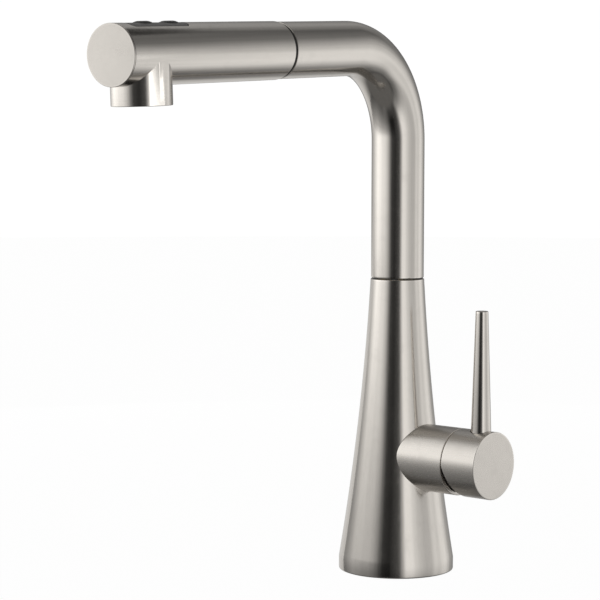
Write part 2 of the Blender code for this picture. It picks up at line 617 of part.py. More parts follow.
# ---- cartridge ------------------------------------------------------------------------------
def make_cartridge(base, rotor_pivot, disc_pivot, handle_pivot):
    def on_valve(obj, parent_x=0.0, rise=0.0):
        return put(obj, (-parent_x, 0, (VALVE_Z if parent_x == 0.0 else 0.0) + rise), (0, 90, 0))

    def port_cuts(label, low, high):
        cuts = []
        for number, (y, rise) in enumerate(PORT_PLACES):
            cut = rod("%s_port_cut_%d" % (label, number), PORT_BRANCH_R, low - CUT, high + CUT, base,
                      sides=DRILL_SIDES)
            cuts.append(put(cut, (0, y, VALVE_Z + rise), (0, 90, 0)))
        return cuts

    bottom = rod("cartridge_base", CARTRIDGE_R, BASE_X, BASE_X + CARTRIDGE_BASE_T, base, DARK_PLASTIC)
    on_valve(bottom)
    combine(bottom, port_cuts("base", BASE_X, BASE_X + CARTRIDGE_BASE_T))
    fixed = on_valve(rod("fixed_disc", FIXED_DISC_R, FIXED_DISC_X, FIXED_DISC_X + DISC_T, base, CERAMIC))
    combine(fixed, port_cuts("disc", FIXED_DISC_X, FIXED_DISC_X + DISC_T))

    roof = CARTRIDGE_SHOULDER_X - CARTRIDGE_ROOF_T
    neck_bore = ROTOR_NECK_R + GAP
    on_valve(turned("cartridge_housing", [
        (CARTRIDGE_NECK_R, CARTRIDGE_NECK_END_X), (CARTRIDGE_NECK_R, CARTRIDGE_SHOULDER_X),
        (CARTRIDGE_R, CARTRIDGE_SHOULDER_X), (CARTRIDGE_R, FIXED_DISC_X), (CARTRIDGE_BORE_R, FIXED_DISC_X),
        (CARTRIDGE_BORE_R, roof), (neck_bore, roof), (neck_bore, CARTRIDGE_NECK_END_X)], base, PALE_PLASTIC))
    seat = BARREL_END_X + GAP
    on_valve(turned("cartridge_nut", [
        (NUT_FLANGE_R, seat + NUT_FLANGE_T), (NUT_FLANGE_R, seat), (CARTRIDGE_R, seat),
        (CARTRIDGE_R, CARTRIDGE_SHOULDER_X + GAP), (CARTRIDGE_NECK_R + GAP, CARTRIDGE_SHOULDER_X + GAP),
        (CARTRIDGE_NECK_R + GAP, seat + NUT_FLANGE_T)], base, BRASS))

    rotor = on_valve(turned("stem_rotor", [
        (0, ROTOR_END_X), (ROTOR_NECK_R, ROTOR_END_X), (ROTOR_NECK_R, roof - GAP), (ROTOR_R, roof - GAP),
        (ROTOR_R, ROTOR_X), (0, ROTOR_X)], rotor_pivot, PALE_PLASTIC, INNER_SIDES, ring=False), PIVOT_X)
    half_high = STEM_HALF / math.cos(math.radians(STEM_TILT)) + GAP
    half_high += (PIVOT_X - ROTOR_X) * math.tan(math.radians(STEM_TILT))
    slot = box("rotor_slot_cut", (ROTOR_X - CUT - PIVOT_X, -STEM_HALF - GAP, -half_high),
               (ROTOR_END_X + CUT - PIVOT_X, STEM_HALF + GAP, half_high), rotor_pivot)
    pin_cut = rod("pin_cut", PIN_R + GAP, -ROTOR_R, ROTOR_R, rotor_pivot, sides=DRILL_SIDES)
    put(pin_cut, (0, 0, 0), (90, 0, 0))
    combine(rotor, [slot, pin_cut])
    put(rod("stem_pin", PIN_R, -ROTOR_NECK_R + GAP, ROTOR_NECK_R - GAP, rotor_pivot, STEEL, DRILL_SIDES),
        (0, 0, 0), (90, 0, 0))

    hollow_r = MOVING_DISC_R * MIXING_SHARE
    hollow_x = MOVING_DISC_X + DISC_T / 2
    disc = turned("moving_disc", [
        (0, MOVING_DISC_X + DISC_T), (MOVING_DISC_R, MOVING_DISC_X + DISC_T), (MOVING_DISC_R, MOVING_DISC_X),
        (hollow_r, MOVING_DISC_X), (hollow_r, hollow_x), (0, hollow_x)],
        disc_pivot, CERAMIC, INNER_SIDES, ring=False)
    put(disc, (-PIVOT_X, 0, 0), (0, 90, 0))
    carrier = rod("disc_carrier", MOVING_DISC_R, CARRIER_X, CARRIER_X + CARRIER_T, disc_pivot, DARK_PLASTIC)
    put(carrier, (-PIVOT_X, 0, 0), (0, 90, 0))
    pocket_low = PIVOT_X - STEM_FOOT - STEM_FOOT_R - GAP
    pocket = rod("carrier_pocket_cut", STEM_FOOT_R + FOOT_PLAY, pocket_low, ROTOR_X + CUT, disc_pivot,
                 sides=DRILL_SIDES)
    put(pocket, (-PIVOT_X, 0, 0), (0, 90, 0))
    combine(carrier, [pocket])

    stem = box("stem", (-STEM_FOOT + STEM_FOOT_R + GAP, -STEM_HALF, -STEM_HALF),
               (STEM_OUT, STEM_HALF, STEM_HALF), handle_pivot, STEEL)
    put(stem, (0, 0, 0), (0, -STEM_TILT, 0))
    foot = rod("stem_foot", STEM_FOOT_R, -STEM_FOOT_R, STEM_FOOT_R * 1.6, handle_pivot, sides=DRILL_SIDES)
    tilt = math.radians(STEM_TILT)
    put(foot, (-STEM_FOOT * math.cos(tilt), 0, -STEM_FOOT * math.sin(tilt)), (0, 90 - STEM_TILT, 0))
    stem_pin_cut = rod("stem_pin_cut", PIN_R + GAP, -STEM_HALF - CUT, STEM_HALF + CUT, handle_pivot,
                       sides=DRILL_SIDES)
    put(stem_pin_cut, (0, 0, 0), (90, 0, 0))
    combine(stem, [foot], "UNION")
    combine(stem, [stem_pin_cut])


# ---- handle ---------------------------------------------------------------------------------
def make_handle(pivot):
    cap = turned("handle_cap", [
        (0, CAP_END_X), (VALVE_R - CAP_EDGE, CAP_END_X), (VALVE_R, CAP_END_X - CAP_EDGE),
        (VALVE_R, CAP_START_X), (VALVE_R - CAP_WALL, CAP_START_X), (VALVE_R - CAP_WALL, CAP_RECESS_X),
        (CAP_BOSS_R, CAP_RECESS_X),
        (CAP_BOSS_R, CAP_BOSS_START_X), (0, CAP_BOSS_START_X)], pivot, NICKEL, SHELL_SIDES, ring=False)
    put(cap, (-PIVOT_X, 0, 0), (0, 90, 0))
    bevel = box("cap_bevel_cut", (-VALVE_R, -VALVE_R - CUT, -2 * VALVE_R), (0, VALVE_R + CUT, 0), pivot)
    put(bevel, (CAP_START_X - PIVOT_X, 0, 0), (0, -CAP_BEVEL_ANGLE, 0))
    half = STEM_HALF + GAP
    stem_hole = box("cap_stem_cut", (CAP_BOSS_START_X - CUT - PIVOT_X, -half, -half),
                    (STEM_OUT + GAP, half, half), pivot)
    put(stem_hole, (0, 0, 0), (0, -STEM_TILT, 0))
    lever_hole = rod("lever_cut", LEVER_BASE_R + GAP, LEVER_SEAT - GAP, VALVE_R + CUT, pivot)
    stud_hole = rod("lever_stud_cut", LEVER_STUD_R + GAP, LEVER_STUD_END - GAP, VALVE_R, pivot,
                    sides=DRILL_SIDES)
    grub_hole = rod("grub_cut", GRUB_R + GAP, -VALVE_R - CUT, 0, pivot, sides=DRILL_SIDES)
    for cut in (lever_hole, stud_hole):
        put(cut, (LEVER_X - PIVOT_X, 0, 0))
    put(grub_hole, (GRUB_X - PIVOT_X, 0, 0))
    combine(cap, [bevel, stem_hole, lever_hole, stud_hole, grub_hole])

    lever = turned("lever", [
        (0, LEVER_LENGTH), (LEVER_TOP_R - CAP_EDGE, LEVER_LENGTH), (LEVER_TOP_R, LEVER_LENGTH - CAP_EDGE),
        (LEVER_BASE_R, LEVER_SEAT), (LEVER_STUD_R, LEVER_SEAT), (LEVER_STUD_R, LEVER_STUD_END),
        (0, LEVER_STUD_END)], pivot, NICKEL, INNER_SIDES, ring=False)
    put(lever, (LEVER_X - PIVOT_X, 0, 0))
    tilt = math.radians(STEM_TILT)
    stem_under = (GRUB_X - GRUB_R - PIVOT_X) * math.tan(tilt) - STEM_HALF / math.cos(tilt)
    grub_top = stem_under - GAP
    put(rod("cap_grub_screw", GRUB_R, grub_top - GRUB_L, grub_top, pivot, STEEL, DRILL_SIDES),
        (GRUB_X - PIVOT_X, 0, 0))
    plug_low = -VALVE_R + CAP_EDGE
    put(rod("cap_plug", GRUB_R, plug_low, plug_low + PLUG_T, pivot, DARK_PLASTIC, DRILL_SIDES),
        (GRUB_X - PIVOT_X, 0, 0))


# ---- swivel and spout -----------------------------------------------------------------------
def make_swivel(base, spout):
    bush = tube("swivel_bush", BUSH_R - BUSH_WALL, BUSH_R, BODY_TOP_Z - TOP_BORE_LENGTH, BODY_TOP_Z - GAP,
                base, DARK_PLASTIC)
    screw_hole = put(rod("bush_screw_cut", STOP_R + GAP, 0, BODY_TOP_R + CUT, base, sides=DRILL_SIDES),
                     (0, 0, STOP_Z), (-90, 0, 0))
    combine(bush, [screw_hole])
    tip = SHANK_R - STOP_DEPTH + GAP
    put(rod("spout_stop_screw", STOP_R, tip, body_radius(STOP_Z) - GAP, base, STEEL, DRILL_SIDES),
        (0, 0, STOP_Z), (-90, 0, 0))
    washer_low = (BODY_TOP_Z + NECK_BOTTOM_Z - WASHER_T) / 2
    tube("thrust_washer", SHANK_R + GAP, WASHER_R, washer_low, washer_low + WASHER_T, base, DARK_PLASTIC,
         SHELL_SIDES)

    low = NECK_BOTTOM_Z - SHANK_LENGTH
    grooves = [low + SLIP_RING_FROM_END, BODY_TOP_Z - SLIP_RING_FROM_TOP]
    deep = SHANK_R - SLIP_RING_DEPTH - GAP
    outline = [(TUBE_IN_R - GAP, NECK_BOTTOM_Z + SHANK_HOLD), (TUBE_IN_R - GAP, NECK_BOTTOM_Z),
               (SHANK_R, NECK_BOTTOM_Z)]
    for groove in reversed(grooves):
        top = groove + SLIP_RING_T + GAP * 2
        outline += [(SHANK_R, top), (deep, top), (deep, groove), (SHANK_R, groove)]
    outline += [(SHANK_R, low), (SHANK_BORE_R, low), (SHANK_BORE_R, NECK_BOTTOM_Z + SHANK_HOLD)]
    shank = turned("swivel_shank", outline, spout, BRASS)
    stop = tube("stop_groove_cut", SHANK_R - STOP_DEPTH, SHANK_R + CUT, STOP_Z - STOP_R - GAP,
                STOP_Z + STOP_R + GAP, spout)
    over = SHANK_R + 2 * CUT
    end = -(STOP_R + GAP) + SHANK_R * math.cos(math.radians(SPOUT_SWEEP))
    half = box("stop_groove_half", (-over, end, STOP_Z - over), (over, over, STOP_Z + over), spout)
    combine(stop, [half], "INTERSECT")
    combine(shank, [stop])
    for groove, label in zip(grooves, ("lower", "upper")):
        ring_low = groove + GAP
        tube(label + "_slip_ring", deep + GAP, SHANK_R, ring_low, ring_low + SLIP_RING_T, spout, PALE_PLASTIC)


def make_spout(spout, arm):
    route = [(0, 0, NECK_BOTTOM_Z)]
    route += [(0, *bend_point(i / BEND_STEPS)) for i in range(BEND_STEPS + 1)]
    route.append(arm_place(SEAM_T - GAP))
    skin = pipe("spout_tube", route, TUBE_R, spout, NICKEL, (SHELL_SIDES - 4) // 2, capped=False)
    wall = skin.modifiers.new("wall", "SOLIDIFY")
    wall.thickness = TUBE_WALL * MM
    wall.offset = -1.0
    wall.use_even_offset = True
    collar = tube("dock_collar", DOCK_BORE_R, TUBE_IN_R - GAP, SEAM_T - GAP - DOCK_LENGTH, SEAM_T - GAP, arm,
                  DARK_PLASTIC)
    put(collar, (0, 0, 0), (90, 0, 0))
    ring = tube("seam_gasket", DOCK_BORE_R, SEAM_RING_R, SEAM_T, SEAM_T + SEAM_W, arm, RUBBER, SHELL_SIDES)
    put(ring, (0, 0, 0), (90, 0, 0))


# ---- head -----------------------------------------------------------------------------------
def make_head(head):
    """Turned pieces of the head lie along its own Z, which is laid along the arm."""
    def along(obj):
        return put(obj, (0, HEAD_START_T, 0), (90, 0, 0))

    def across(obj, t):
        return put(obj, (0, HEAD_START_T - t, 0))

    shell_end = HEAD_END_T - END_CAP_RIM - GAP
    shell = along(rod("head_shell", HEAD_R, HEAD_START_T, shell_end, head, NICKEL, SHELL_SIDES))
    nozzle = across(rod("nozzle", NOZZLE_R, -NOZZLE_DROP, 0, head, sides=SHELL_SIDES), NOZZLE_T)
    bore = rod("head_bore_cut", HEAD_IN_R, HEAD_START_T - CUT, HEAD_END_T + CUT, head, sides=SHELL_SIDES)
    along(bore)
    nozzle_bore = across(rod("nozzle_bore_cut", NOZZLE_R - HEAD_WALL, -NOZZLE_DROP - CUT, 0, head,
                             sides=SHELL_SIDES), NOZZLE_T)
    groove = PLATE_GROOVE * 2
    pocket = across(prism("plate_pocket_cut", rounded_outline(PLATE_LENGTH + groove, PLATE_WIDTH + groove,
                                                              PLATE_CORNER_R + PLATE_GROOVE),
                          0, HEAD_R + CUT, head), PLATE_T)
    core = rod("pocket_core", HEAD_R - PLATE_POCKET, HEAD_START_T - CUT, HEAD_END_T, head, sides=SHELL_SIDES)
    along(core)
    combine(pocket, [core])
    windows = []
    for label, t in (("stream", STREAM_BUTTON_T), ("spray", SPRAY_BUTTON_T)):
        outline = oval_outline(BUTTON_LENGTH + 2 * GAP, BUTTON_WIDTH + 2 * GAP)
        windows.append(across(prism(label + "_window_cut", outline, 0, HEAD_R + CUT, head), t))
    combine(shell, [nozzle], "UNION")
    combine(shell, [bore, nozzle_bore, pocket] + windows)

    in_r = HEAD_FIT_R
    groove_r = in_r - END_SEAL_DEPTH
    ring_low = END_CAP_T + END_SEAL_W
    ring_high = ring_low + END_SEAL_W
    along(turned("end_cap", [
        (0, HEAD_END_T), (HEAD_R - CAP_EDGE, HEAD_END_T), (HEAD_R, HEAD_END_T - CAP_EDGE),
        (HEAD_R, HEAD_END_T - END_CAP_RIM), (in_r, HEAD_END_T - END_CAP_RIM), (in_r, ring_high),
        (groove_r, ring_high), (groove_r, ring_low), (in_r, ring_low), (in_r, END_CAP_T),
        (in_r - END_CAP_WALL, END_CAP_T), (in_r - END_CAP_WALL, HEAD_END_T - END_CAP_WALL),
        (0, HEAD_END_T - END_CAP_WALL)], head, NICKEL, SHELL_SIDES, ring=False))
    along(tube("end_cap_seal", groove_r + GAP, in_r, ring_low + GAP, ring_high - GAP, head, RUBBER))

    plate = across(prism("button_plate", rounded_outline(PLATE_LENGTH, PLATE_WIDTH, PLATE_CORNER_R), 0,
                         HEAD_R + CUT, head, DARK_PLASTIC), PLATE_T)
    skin = HEAD_R - PLATE_POCKET + GAP
    plate_tube = along(tube("plate_skin", skin, skin + PLATE_THICK, HEAD_START_T, HEAD_END_T, head,
                            sides=SHELL_SIDES))
    combine(plate, [plate_tube], "INTERSECT")
    combine(plate, windows)

    body = along(turned("waterway", [
        (0, WATERWAY_END_T), (in_r, WATERWAY_END_T), (in_r, WATERWAY_END_T - WATERWAY_FLANGE),
        (WATERWAY_R, WATERWAY_END_T - WATERWAY_FLANGE), (WATERWAY_R, WATERWAY_START_T + WATERWAY_FLANGE),
        (in_r, WATERWAY_START_T + WATERWAY_FLANGE), (in_r, WATERWAY_START_T), (0, WATERWAY_START_T)],
        head, PALE_PLASTIC, INNER_SIDES, ring=False))
    branch = across(rod("waterway_branch", BRANCH_R, -BRANCH_DROP, 0, head), NOZZLE_T)
    main_bore = along(rod("waterway_bore_cut", WATERWAY_BORE_R, WATERWAY_START_T - CUT, NOZZLE_T, head,
                          sides=DRILL_SIDES))
    branch_bore = across(rod("branch_bore_cut", BRANCH_BORE_R, -BRANCH_DROP - CUT, 0, head), NOZZLE_T)
    flat = box("waterway_flat_cut", (-WATERWAY_R, HEAD_START_T - WATERWAY_END_T - CUT, WATERWAY_FLAT),
               (WATERWAY_R, HEAD_START_T - PLATE_T + PLATE_LENGTH / 2, HEAD_R), head)
    combine(body, [branch], "UNION")
    combine(body, [main_bore, branch_bore, flat])

    for label, t in (("stream", STREAM_BUTTON_T), ("spray", SPRAY_BUTTON_T)):
        make_button(label, t, head, body)

    low = -NOZZLE_DROP + GAP
    ring = tube("aerator_ring", AERATOR_IN_R, AERATOR_R, low, low + AERATOR_HEIGHT, head, DARK_PLASTIC)
    across(ring, NOZZLE_T)
    face_low = low + FACE_RECESS
    across(rod("spray_face", AERATOR_IN_R - GAP, face_low, face_low + FACE_T, head, RUBBER), NOZZLE_T)
    mesh_low = face_low + FACE_T + GAP
    across(rod("aerator_mesh", AERATOR_IN_R - GAP, mesh_low, mesh_low + MESH_T, head, PALE_PLASTIC), NOZZLE_T)


def make_button(label, t, head, waterway):
    """A domed oval button on a plunger, its bore in the waterway and its return spring."""
    pivot = add_pivot(label + "_button_slide", head, (0, HEAD_START_T - t, BUTTON_TOP))
    side_top = BUTTON_TOP - BUTTON_DOME
    count = 20
    rings = [(1.0, BUTTON_FOOT), (1.0, side_top - BUTTON_EDGE), (0.9, side_top + BUTTON_DOME * 0.45),
             (0.62, side_top + BUTTON_DOME * 0.85), (0.25, BUTTON_TOP)]
    work = bmesh.new()
    loops = []
    for share, height in rings:
        outline = oval_outline(BUTTON_LENGTH * share, BUTTON_WIDTH * share, count)
        loops.append([work.verts.new((x * MM, y * MM, (height - BUTTON_TOP) * MM)) for x, y in outline])
    for lower, upper in zip(loops, loops[1:]):
        for i in range(count):
            j = (i + 1) % count
            work.faces.new((lower[i], lower[j], upper[j], upper[i]))
    work.faces.new(list(reversed(loops[0])))
    work.faces.new(loops[-1])
    mesh = bpy.data.meshes.new(label + "_button")
    work.to_mesh(mesh)
    work.free()
    mesh.shade_smooth()
    button = add_object(label + "_button", mesh, pivot, DARK_PLASTIC)
    plunger = rod(label + "_plunger", PLUNGER_R, PLUNGER_TIP - BUTTON_TOP, BUTTON_FOOT - BUTTON_TOP + GAP,
                  pivot, sides=DRILL_SIDES)
    combine(button, [plunger], "UNION")
    bore = rod(label + "_plunger_cut", PLUNGER_R + GAP, PLUNGER_BORE_END, HEAD_R, head, sides=DRILL_SIDES)
    put(bore, (0, HEAD_START_T - t, 0))
    combine(waterway, [bore])
    points = 8 * SPRING_TURNS
    low = WATERWAY_FLAT + GAP + SPRING_WIRE_R
    high = BUTTON_FOOT - GAP - SPRING_WIRE_R
    route = []
    for i in range(points + 1):
        angle = 2 * math.pi * i / 8
        height = low + (high - low) * i / points
        route.append((SPRING_R * math.cos(angle), SPRING_R * math.sin(angle), height))
    put(pipe(label + "_spring", route, SPRING_WIRE_R, head, STEEL, 1), (0, HEAD_START_T - t, 0))


# ---- hose and its fittings ------------------------------------------------------------------
def make_hose(base, spout, head):
    def along(obj):
        return put(obj, (0, HEAD_START_T, 0), (90, 0, 0))

    start = HEAD_START_T - SPIGOT_LENGTH
    flange_end = HEAD_START_T + SPIGOT_FLANGE_T
    along(turned("dock_spigot", [
        (HEAD_FIT_R, flange_end), (HEAD_FIT_R, HEAD_START_T + GAP), (SPIGOT_R, HEAD_START_T + GAP),
        (SPIGOT_R, start + SPIGOT_TAPER_LENGTH), (SPIGOT_R - SPIGOT_TAPER, start), (SPIGOT_BORE_R, start),
        (SPIGOT_BORE_R, flange_end)], head, DARK_PLASTIC))
    along(turned("hose_nut", [
        (0, WATERWAY_START_T + NIPPLE_L), (CHECK_VALVE_R, WATERWAY_START_T + NIPPLE_L),
        (CHECK_VALVE_R, WATERWAY_START_T - GAP), (HOSE_NUT_R, WATERWAY_START_T - GAP),
        (HOSE_NUT_R, HOSE_NUT_T), (0, HOSE_NUT_T)], head, BRASS, DRILL_SIDES, ring=False))
    valve_t = WATERWAY_START_T + NIPPLE_L + GAP
    valve_end = valve_t + CHECK_VALVE_L
    along(rod("check_valve", CHECK_VALVE_R, valve_t, valve_end, head, PALE_PLASTIC, DRILL_SIDES))
    along(rod("hose_ferrule", FERRULE_R, FERRULE_T, FERRULE_T + FERRULE_L, head, STEEL, DRILL_SIDES))

    hose_end = FERRULE_T - GAP
    bend_end = BEND_REACH + HOSE_LEAD
    straight = rod("hose_front", HOSE_R, bend_end + GAP, hose_end, head, BRAID, DRILL_SIDES)
    put(straight, (0, HEAD_START_T, 0), (90, 0, 0))
    route = [arm_place(bend_end)]
    route += [(0, *bend_point(1 - i / HOSE_STEPS)) for i in range(HOSE_STEPS + 1)]
    route.append((0, 0, BODY_TOP_Z + SEAM_LINE / 2 + GAP / 2))
    pipe("hose_bend", route, HOSE_R, spout, BRAID, 4)

    top = BODY_TOP_Z + SEAM_LINE / 2 - GAP / 2
    route = [(0, 0, top), (0, 0, HOSE_SHIFT_TOP_Z)]
    for i in range(1, HOSE_STEPS + 1):
        share = (1 - math.cos(math.pi * i / HOSE_STEPS)) / 2
        z = HOSE_SHIFT_TOP_Z + (HOSE_SHIFT_LOW_Z - HOSE_SHIFT_TOP_Z) * i / HOSE_STEPS
        route.append((HOSE_X * share, 0, z))
    route.append((HOSE_X, 0, COUPLING_TOP_Z + GAP))
    pipe("hose_riser", route, HOSE_R, base, BRAID, 4)
    collar_z = COUPLING_TOP_Z - COUPLING_STEP_LENGTH
    ferrule_r = COUPLING_R - COUPLING_STEP
    coupling = turned("hose_coupling", [
        (0, COUPLING_TOP_Z), (ferrule_r, COUPLING_TOP_Z), (ferrule_r, collar_z), (COUPLING_R, collar_z),
        (COUPLING_R, PLATE_BOTTOM), (0, PLATE_BOTTOM)], base, STEEL, DRILL_SIDES, ring=False)
    put(coupling, (HOSE_X, 0, 0))


# ---- assembly -------------------------------------------------------------------------------
clear_scene()
PARTS = new_collection("pull_down_faucet")
CUTTERS = new_collection("faucet_cutters")

base = add_pivot("base_frame", None)
rotor_pivot = add_pivot("temperature_axis", base, (PIVOT_X, 0, VALVE_Z))
handle_pivot = add_pivot("flow_axis", rotor_pivot)
disc_pivot = add_pivot("disc_slide", rotor_pivot, (0, 0, -DISC_SHIFT))
spout = add_pivot("spout_axis", base, (0, 0, 0), (0, 0, SPOUT_TURN))
arm = add_pivot("arm_axis", spout, (0, 0, ARM_Z), (ARM_DROOP, 0, 0))
head = add_pivot("head_slide", arm, (0, -HEAD_START_T, 0))

block_screw_cuts = make_body(base)
make_valve_block(base, block_screw_cuts)
make_cartridge(base, rotor_pivot, disc_pivot, handle_pivot)
make_handle(handle_pivot)
make_swivel(base, spout)
make_spout(spout, arm)
make_head(head)
make_hose(base, spout, head)
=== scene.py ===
"""Looks of a pull-down kitchen faucet in satin nickel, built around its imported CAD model.

The shells that show are rebuilt finely over their CAD solids, the works inside keep their CAD
shapes, and every piece gets a procedural finish. Sizes are in millimetres unless they say so.
In their names, Z is a height, R a radius, X a distance out along the valve's axis, and T one
along the arm from the neck's axis.
"""
import math

import bmesh
import bpy
from mathutils import Matrix, Vector


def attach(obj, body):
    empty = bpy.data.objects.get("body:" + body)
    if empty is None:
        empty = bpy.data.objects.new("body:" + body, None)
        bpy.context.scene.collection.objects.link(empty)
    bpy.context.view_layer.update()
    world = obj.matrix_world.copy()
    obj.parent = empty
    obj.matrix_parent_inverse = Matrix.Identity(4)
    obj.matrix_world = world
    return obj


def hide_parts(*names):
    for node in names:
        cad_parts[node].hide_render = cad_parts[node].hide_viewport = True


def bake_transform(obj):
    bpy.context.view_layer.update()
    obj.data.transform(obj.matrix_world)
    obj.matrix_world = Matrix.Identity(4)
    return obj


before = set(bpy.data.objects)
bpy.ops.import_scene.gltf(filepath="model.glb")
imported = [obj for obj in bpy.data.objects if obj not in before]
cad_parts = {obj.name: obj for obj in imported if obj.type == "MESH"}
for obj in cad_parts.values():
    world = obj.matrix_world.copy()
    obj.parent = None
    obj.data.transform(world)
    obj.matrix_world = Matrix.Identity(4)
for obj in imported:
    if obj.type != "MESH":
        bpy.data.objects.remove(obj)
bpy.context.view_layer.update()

MM = 0.001
GAP = 0.3

# ---- body -----------------------------------------------------------------------------------
BODY_TOP_Z = 189.1
BODY_TOP_R = 17.3
BODY_WALL = 2.3
TOP_BORE_R = 15.3
TOP_BORE_LENGTH = 31.0
FOOT_R = 37.2
FOOT_BAND = 8.0
FOOT_ROUND = 1.4
FLARE_STRAIGHT = 0.51     # share of the taper that is straight, the rest is a parabola
LIP_ROUND = 0.35
NECK_BOTTOM_Z = 190.1
STOP_Z = 175.3
STOP_R = 1.9
STOP_DEPTH = 1.7          # how far the stop screw's tip reaches into the shank
STOP_SOCKET_R = 1.0
GASKET_R = 33.0
GASKET_BORE_R = 26.0
GASKET_TOP_Z = 1.7
LIP_SHINE = 0.5           # heights of the rubbed bands at the body's top and foot
FOOT_SHINE = 1.0

# ---- valve and handle -----------------------------------------------------------------------
VALVE_Z = 75.2
VALVE_R = 21.4
SLEEVE_IN_R = 19.4
SLEEVE_END_X = 52.9
BARREL_R = 18.0
CAP_START_X = 53.5
CAP_END_X = 78.9
CAP_WALL = 2.2
CAP_RECESS_X = 61.0
CAP_EDGE = 0.4
CAP_BEVEL_ANGLE = 18.5
CAP_BOSS_R = 8.0
CAP_BOSS_START_X = 56.3
LEVER_X = 68.6
LEVER_LENGTH = 96.9
LEVER_TOP_R = 4.0
LEVER_BASE_R = 6.6
LEVER_SEAT = 14.4
LEVER_TENON_R = 3.0
LEVER_TENON_LOW = 6.9
GRUB_X = 64.2
GRUB_R = 2.2
PLUG_THICK = 2.0
PLUG_DIMPLE = 0.35
SHADE_RING_INSET = 0.1          # painted shade: a black ring darkens the gap where the valve's housing meets the body
SHADE_RING_TOP = 0.02
SHADE_RING_LOW = 0.27

# ---- spout ----------------------------------------------------------------------------------
SPOUT_TURN = 5.4          # degrees
ARM_DROOP = 2.43          # degrees
ARM_Z = 337.7
TUBE_R = 17.0
TUBE_WALL = 1.6
BEND_R = 57.1
SEAM_T = 130.9
SEAM_WIDTH = 2.0
SEAM_RING_R = 16.8
DOCK_BORE_R = 13.4
DOCK_LENGTH = 26.0
WASHER_R = 16.6
WASHER_THICK = 0.4
SHANK_R = 13.9
TUBE_EDGE = 0.3

# ---- head -----------------------------------------------------------------------------------
HEAD_START_T = 133.2
HEAD_END_T = 278.2
HEAD_R = 17.35
HEAD_IN_R = 15.6
END_CAP_RIM = 1.2
END_CROWN = 0.35          # the end's face stands this much proud in the middle
END_SKIRT = 8.0           # how far the end reaches into the head
END_GROOVE = (4.0, 6.0, 0.8)      # the seal's groove: near side, far side, depth
END_WALL = 2.0
NOZZLE_T = 253.3
NOZZLE_R = 17.2
NOZZLE_IN_R = 15.45
NOZZLE_DROP = 28.2
PLATE_T = 243.7
PLATE_LENGTH = 48.0
PLATE_WIDTH = 16.0
PLATE_CORNER_R = 2.0
PLATE_POCKET_R = 16.2
PLATE_IN_R = 16.5
PLATE_OUT_R = 17.3
PLATE_GROOVE = 0.8
STREAM_T = 250.8
SPRAY_T = 228.5
BUTTON_LENGTH = 13.4
BUTTON_WIDTH = 8.8
BUTTON_TOP = 18.2
BUTTON_FOOT = 15.6
BUTTON_DOME = 1.1
# (share of the outline, depth below the top, wear) from the button's rim to the finger spot
BUTTON_DISH = ((0.74, 0.30, 0.0), (0.62, 0.12, 0.0), (0.48, 0.0, 0.2), (0.44, 0.02, 0.2),
               (0.34, 0.16, 0.0), (0.15, 0.24, 0.0))
PLUNGER_R = 2.2
PLUNGER_TIP = 8.5
AERATOR_R = 15.15
AERATOR_IN_R = 13.25
AERATOR_HEIGHT = 9.1
FACE_RECESS = 0.8
FACE_THICK = 3.2
FACE_SINK = 0.3           # the pad's skin lies this far behind the nubs' tips
# the raised lip round the stream outlet: (radius, height, round), then the outlet's depth
STREAM_LIP = ((6.2, 0.3, 0.1), (5.8, 0.05, 0.15), (5.0, 0.05, 0.15), (4.6, 1.6, 0.1))
STREAM_DEPTH = 1.6
NUB_ROWS = ((14, 7.6, 0.0), (18, 9.6, 0.5), (24, 11.6, 0.0))     # count, distance, turn
NUB_PROFILE = ((0.75, 0.35), (0.62, 0.12), (0.5, 0.0), (0.24, 0.0), (0.2, 0.5))
SCREEN_SINK = 1.0
SCREEN_R = 4.3
WIRE_R = 0.09
WIRES = 13                # each way
SPIGOT_R = 13.1
SPIGOT_BORE_R = 8.6
SPIGOT_LENGTH = 20.0
SPIGOT_FLANGE = 4.5
SPIGOT_TAPER = 1.2
SPIGOT_TAPER_LENGTH = 4.0
HOSE_R = 6.0
HOSE_LEAD = 2.0
FERRULE_R = 7.5
FERRULE_T = 111.9
FERRULE_LENGTH = 15.0
CRIMP_RINGS = 5
CRIMP_PITCH = 2.3
CRIMP_START = 2.2
CRIMP_DEPTH = 0.35
PULL_LENGTH = 450.0
YARNS = 10                # pairs of yarns round the hose
YARN_PITCH = 3.2

ROUND = 96                # sides of a turned piece
FINE = 128                # sides of the widest shells
SLOPE = math.radians(ARM_DROOP)
BEND_ANGLE = math.radians(90 + ARM_DROOP)
BEND_REACH = BEND_R * math.tan(BEND_ANGLE / 2)
NECK_STRAIGHT_Z = ARM_Z - BEND_REACH


# ---- shader graph ---------------------------------------------------------------------------
class Value:
    """A shader's number: arithmetic on it adds Math nodes."""

    def __init__(self, graph, socket):
        self.graph = graph
        self.socket = socket

    def _math(self, operation, *terms):
        return self.graph.node("ShaderNodeMath", {"operation": operation}, dict(enumerate(terms)))

    def __add__(self, other):
        return self._math("ADD", self, other)

    def __sub__(self, other):
        return self._math("SUBTRACT", self, other)

    def __rsub__(self, other):
        return self._math("SUBTRACT", other, self)

    def __mul__(self, other):
        return self._math("MULTIPLY", self, other)

    __radd__ = __add__
    __rmul__ = __mul__

    def sine(self):
        return self._math("SINE", self)

    def size(self):
        return self._math("ABSOLUTE", self)

    def least(self, other):
        return self._math("MINIMUM", self, other)

    def most(self, other):
        return self._math("MAXIMUM", self, other)

    def ramp(self, low, high):
        """Smooth step from 0 at low to 1 at high."""
        return self.graph.node("ShaderNodeMapRange", {"interpolation_type": "SMOOTHSTEP"},
                               {"Value": self, "From Min": low, "From Max": high})


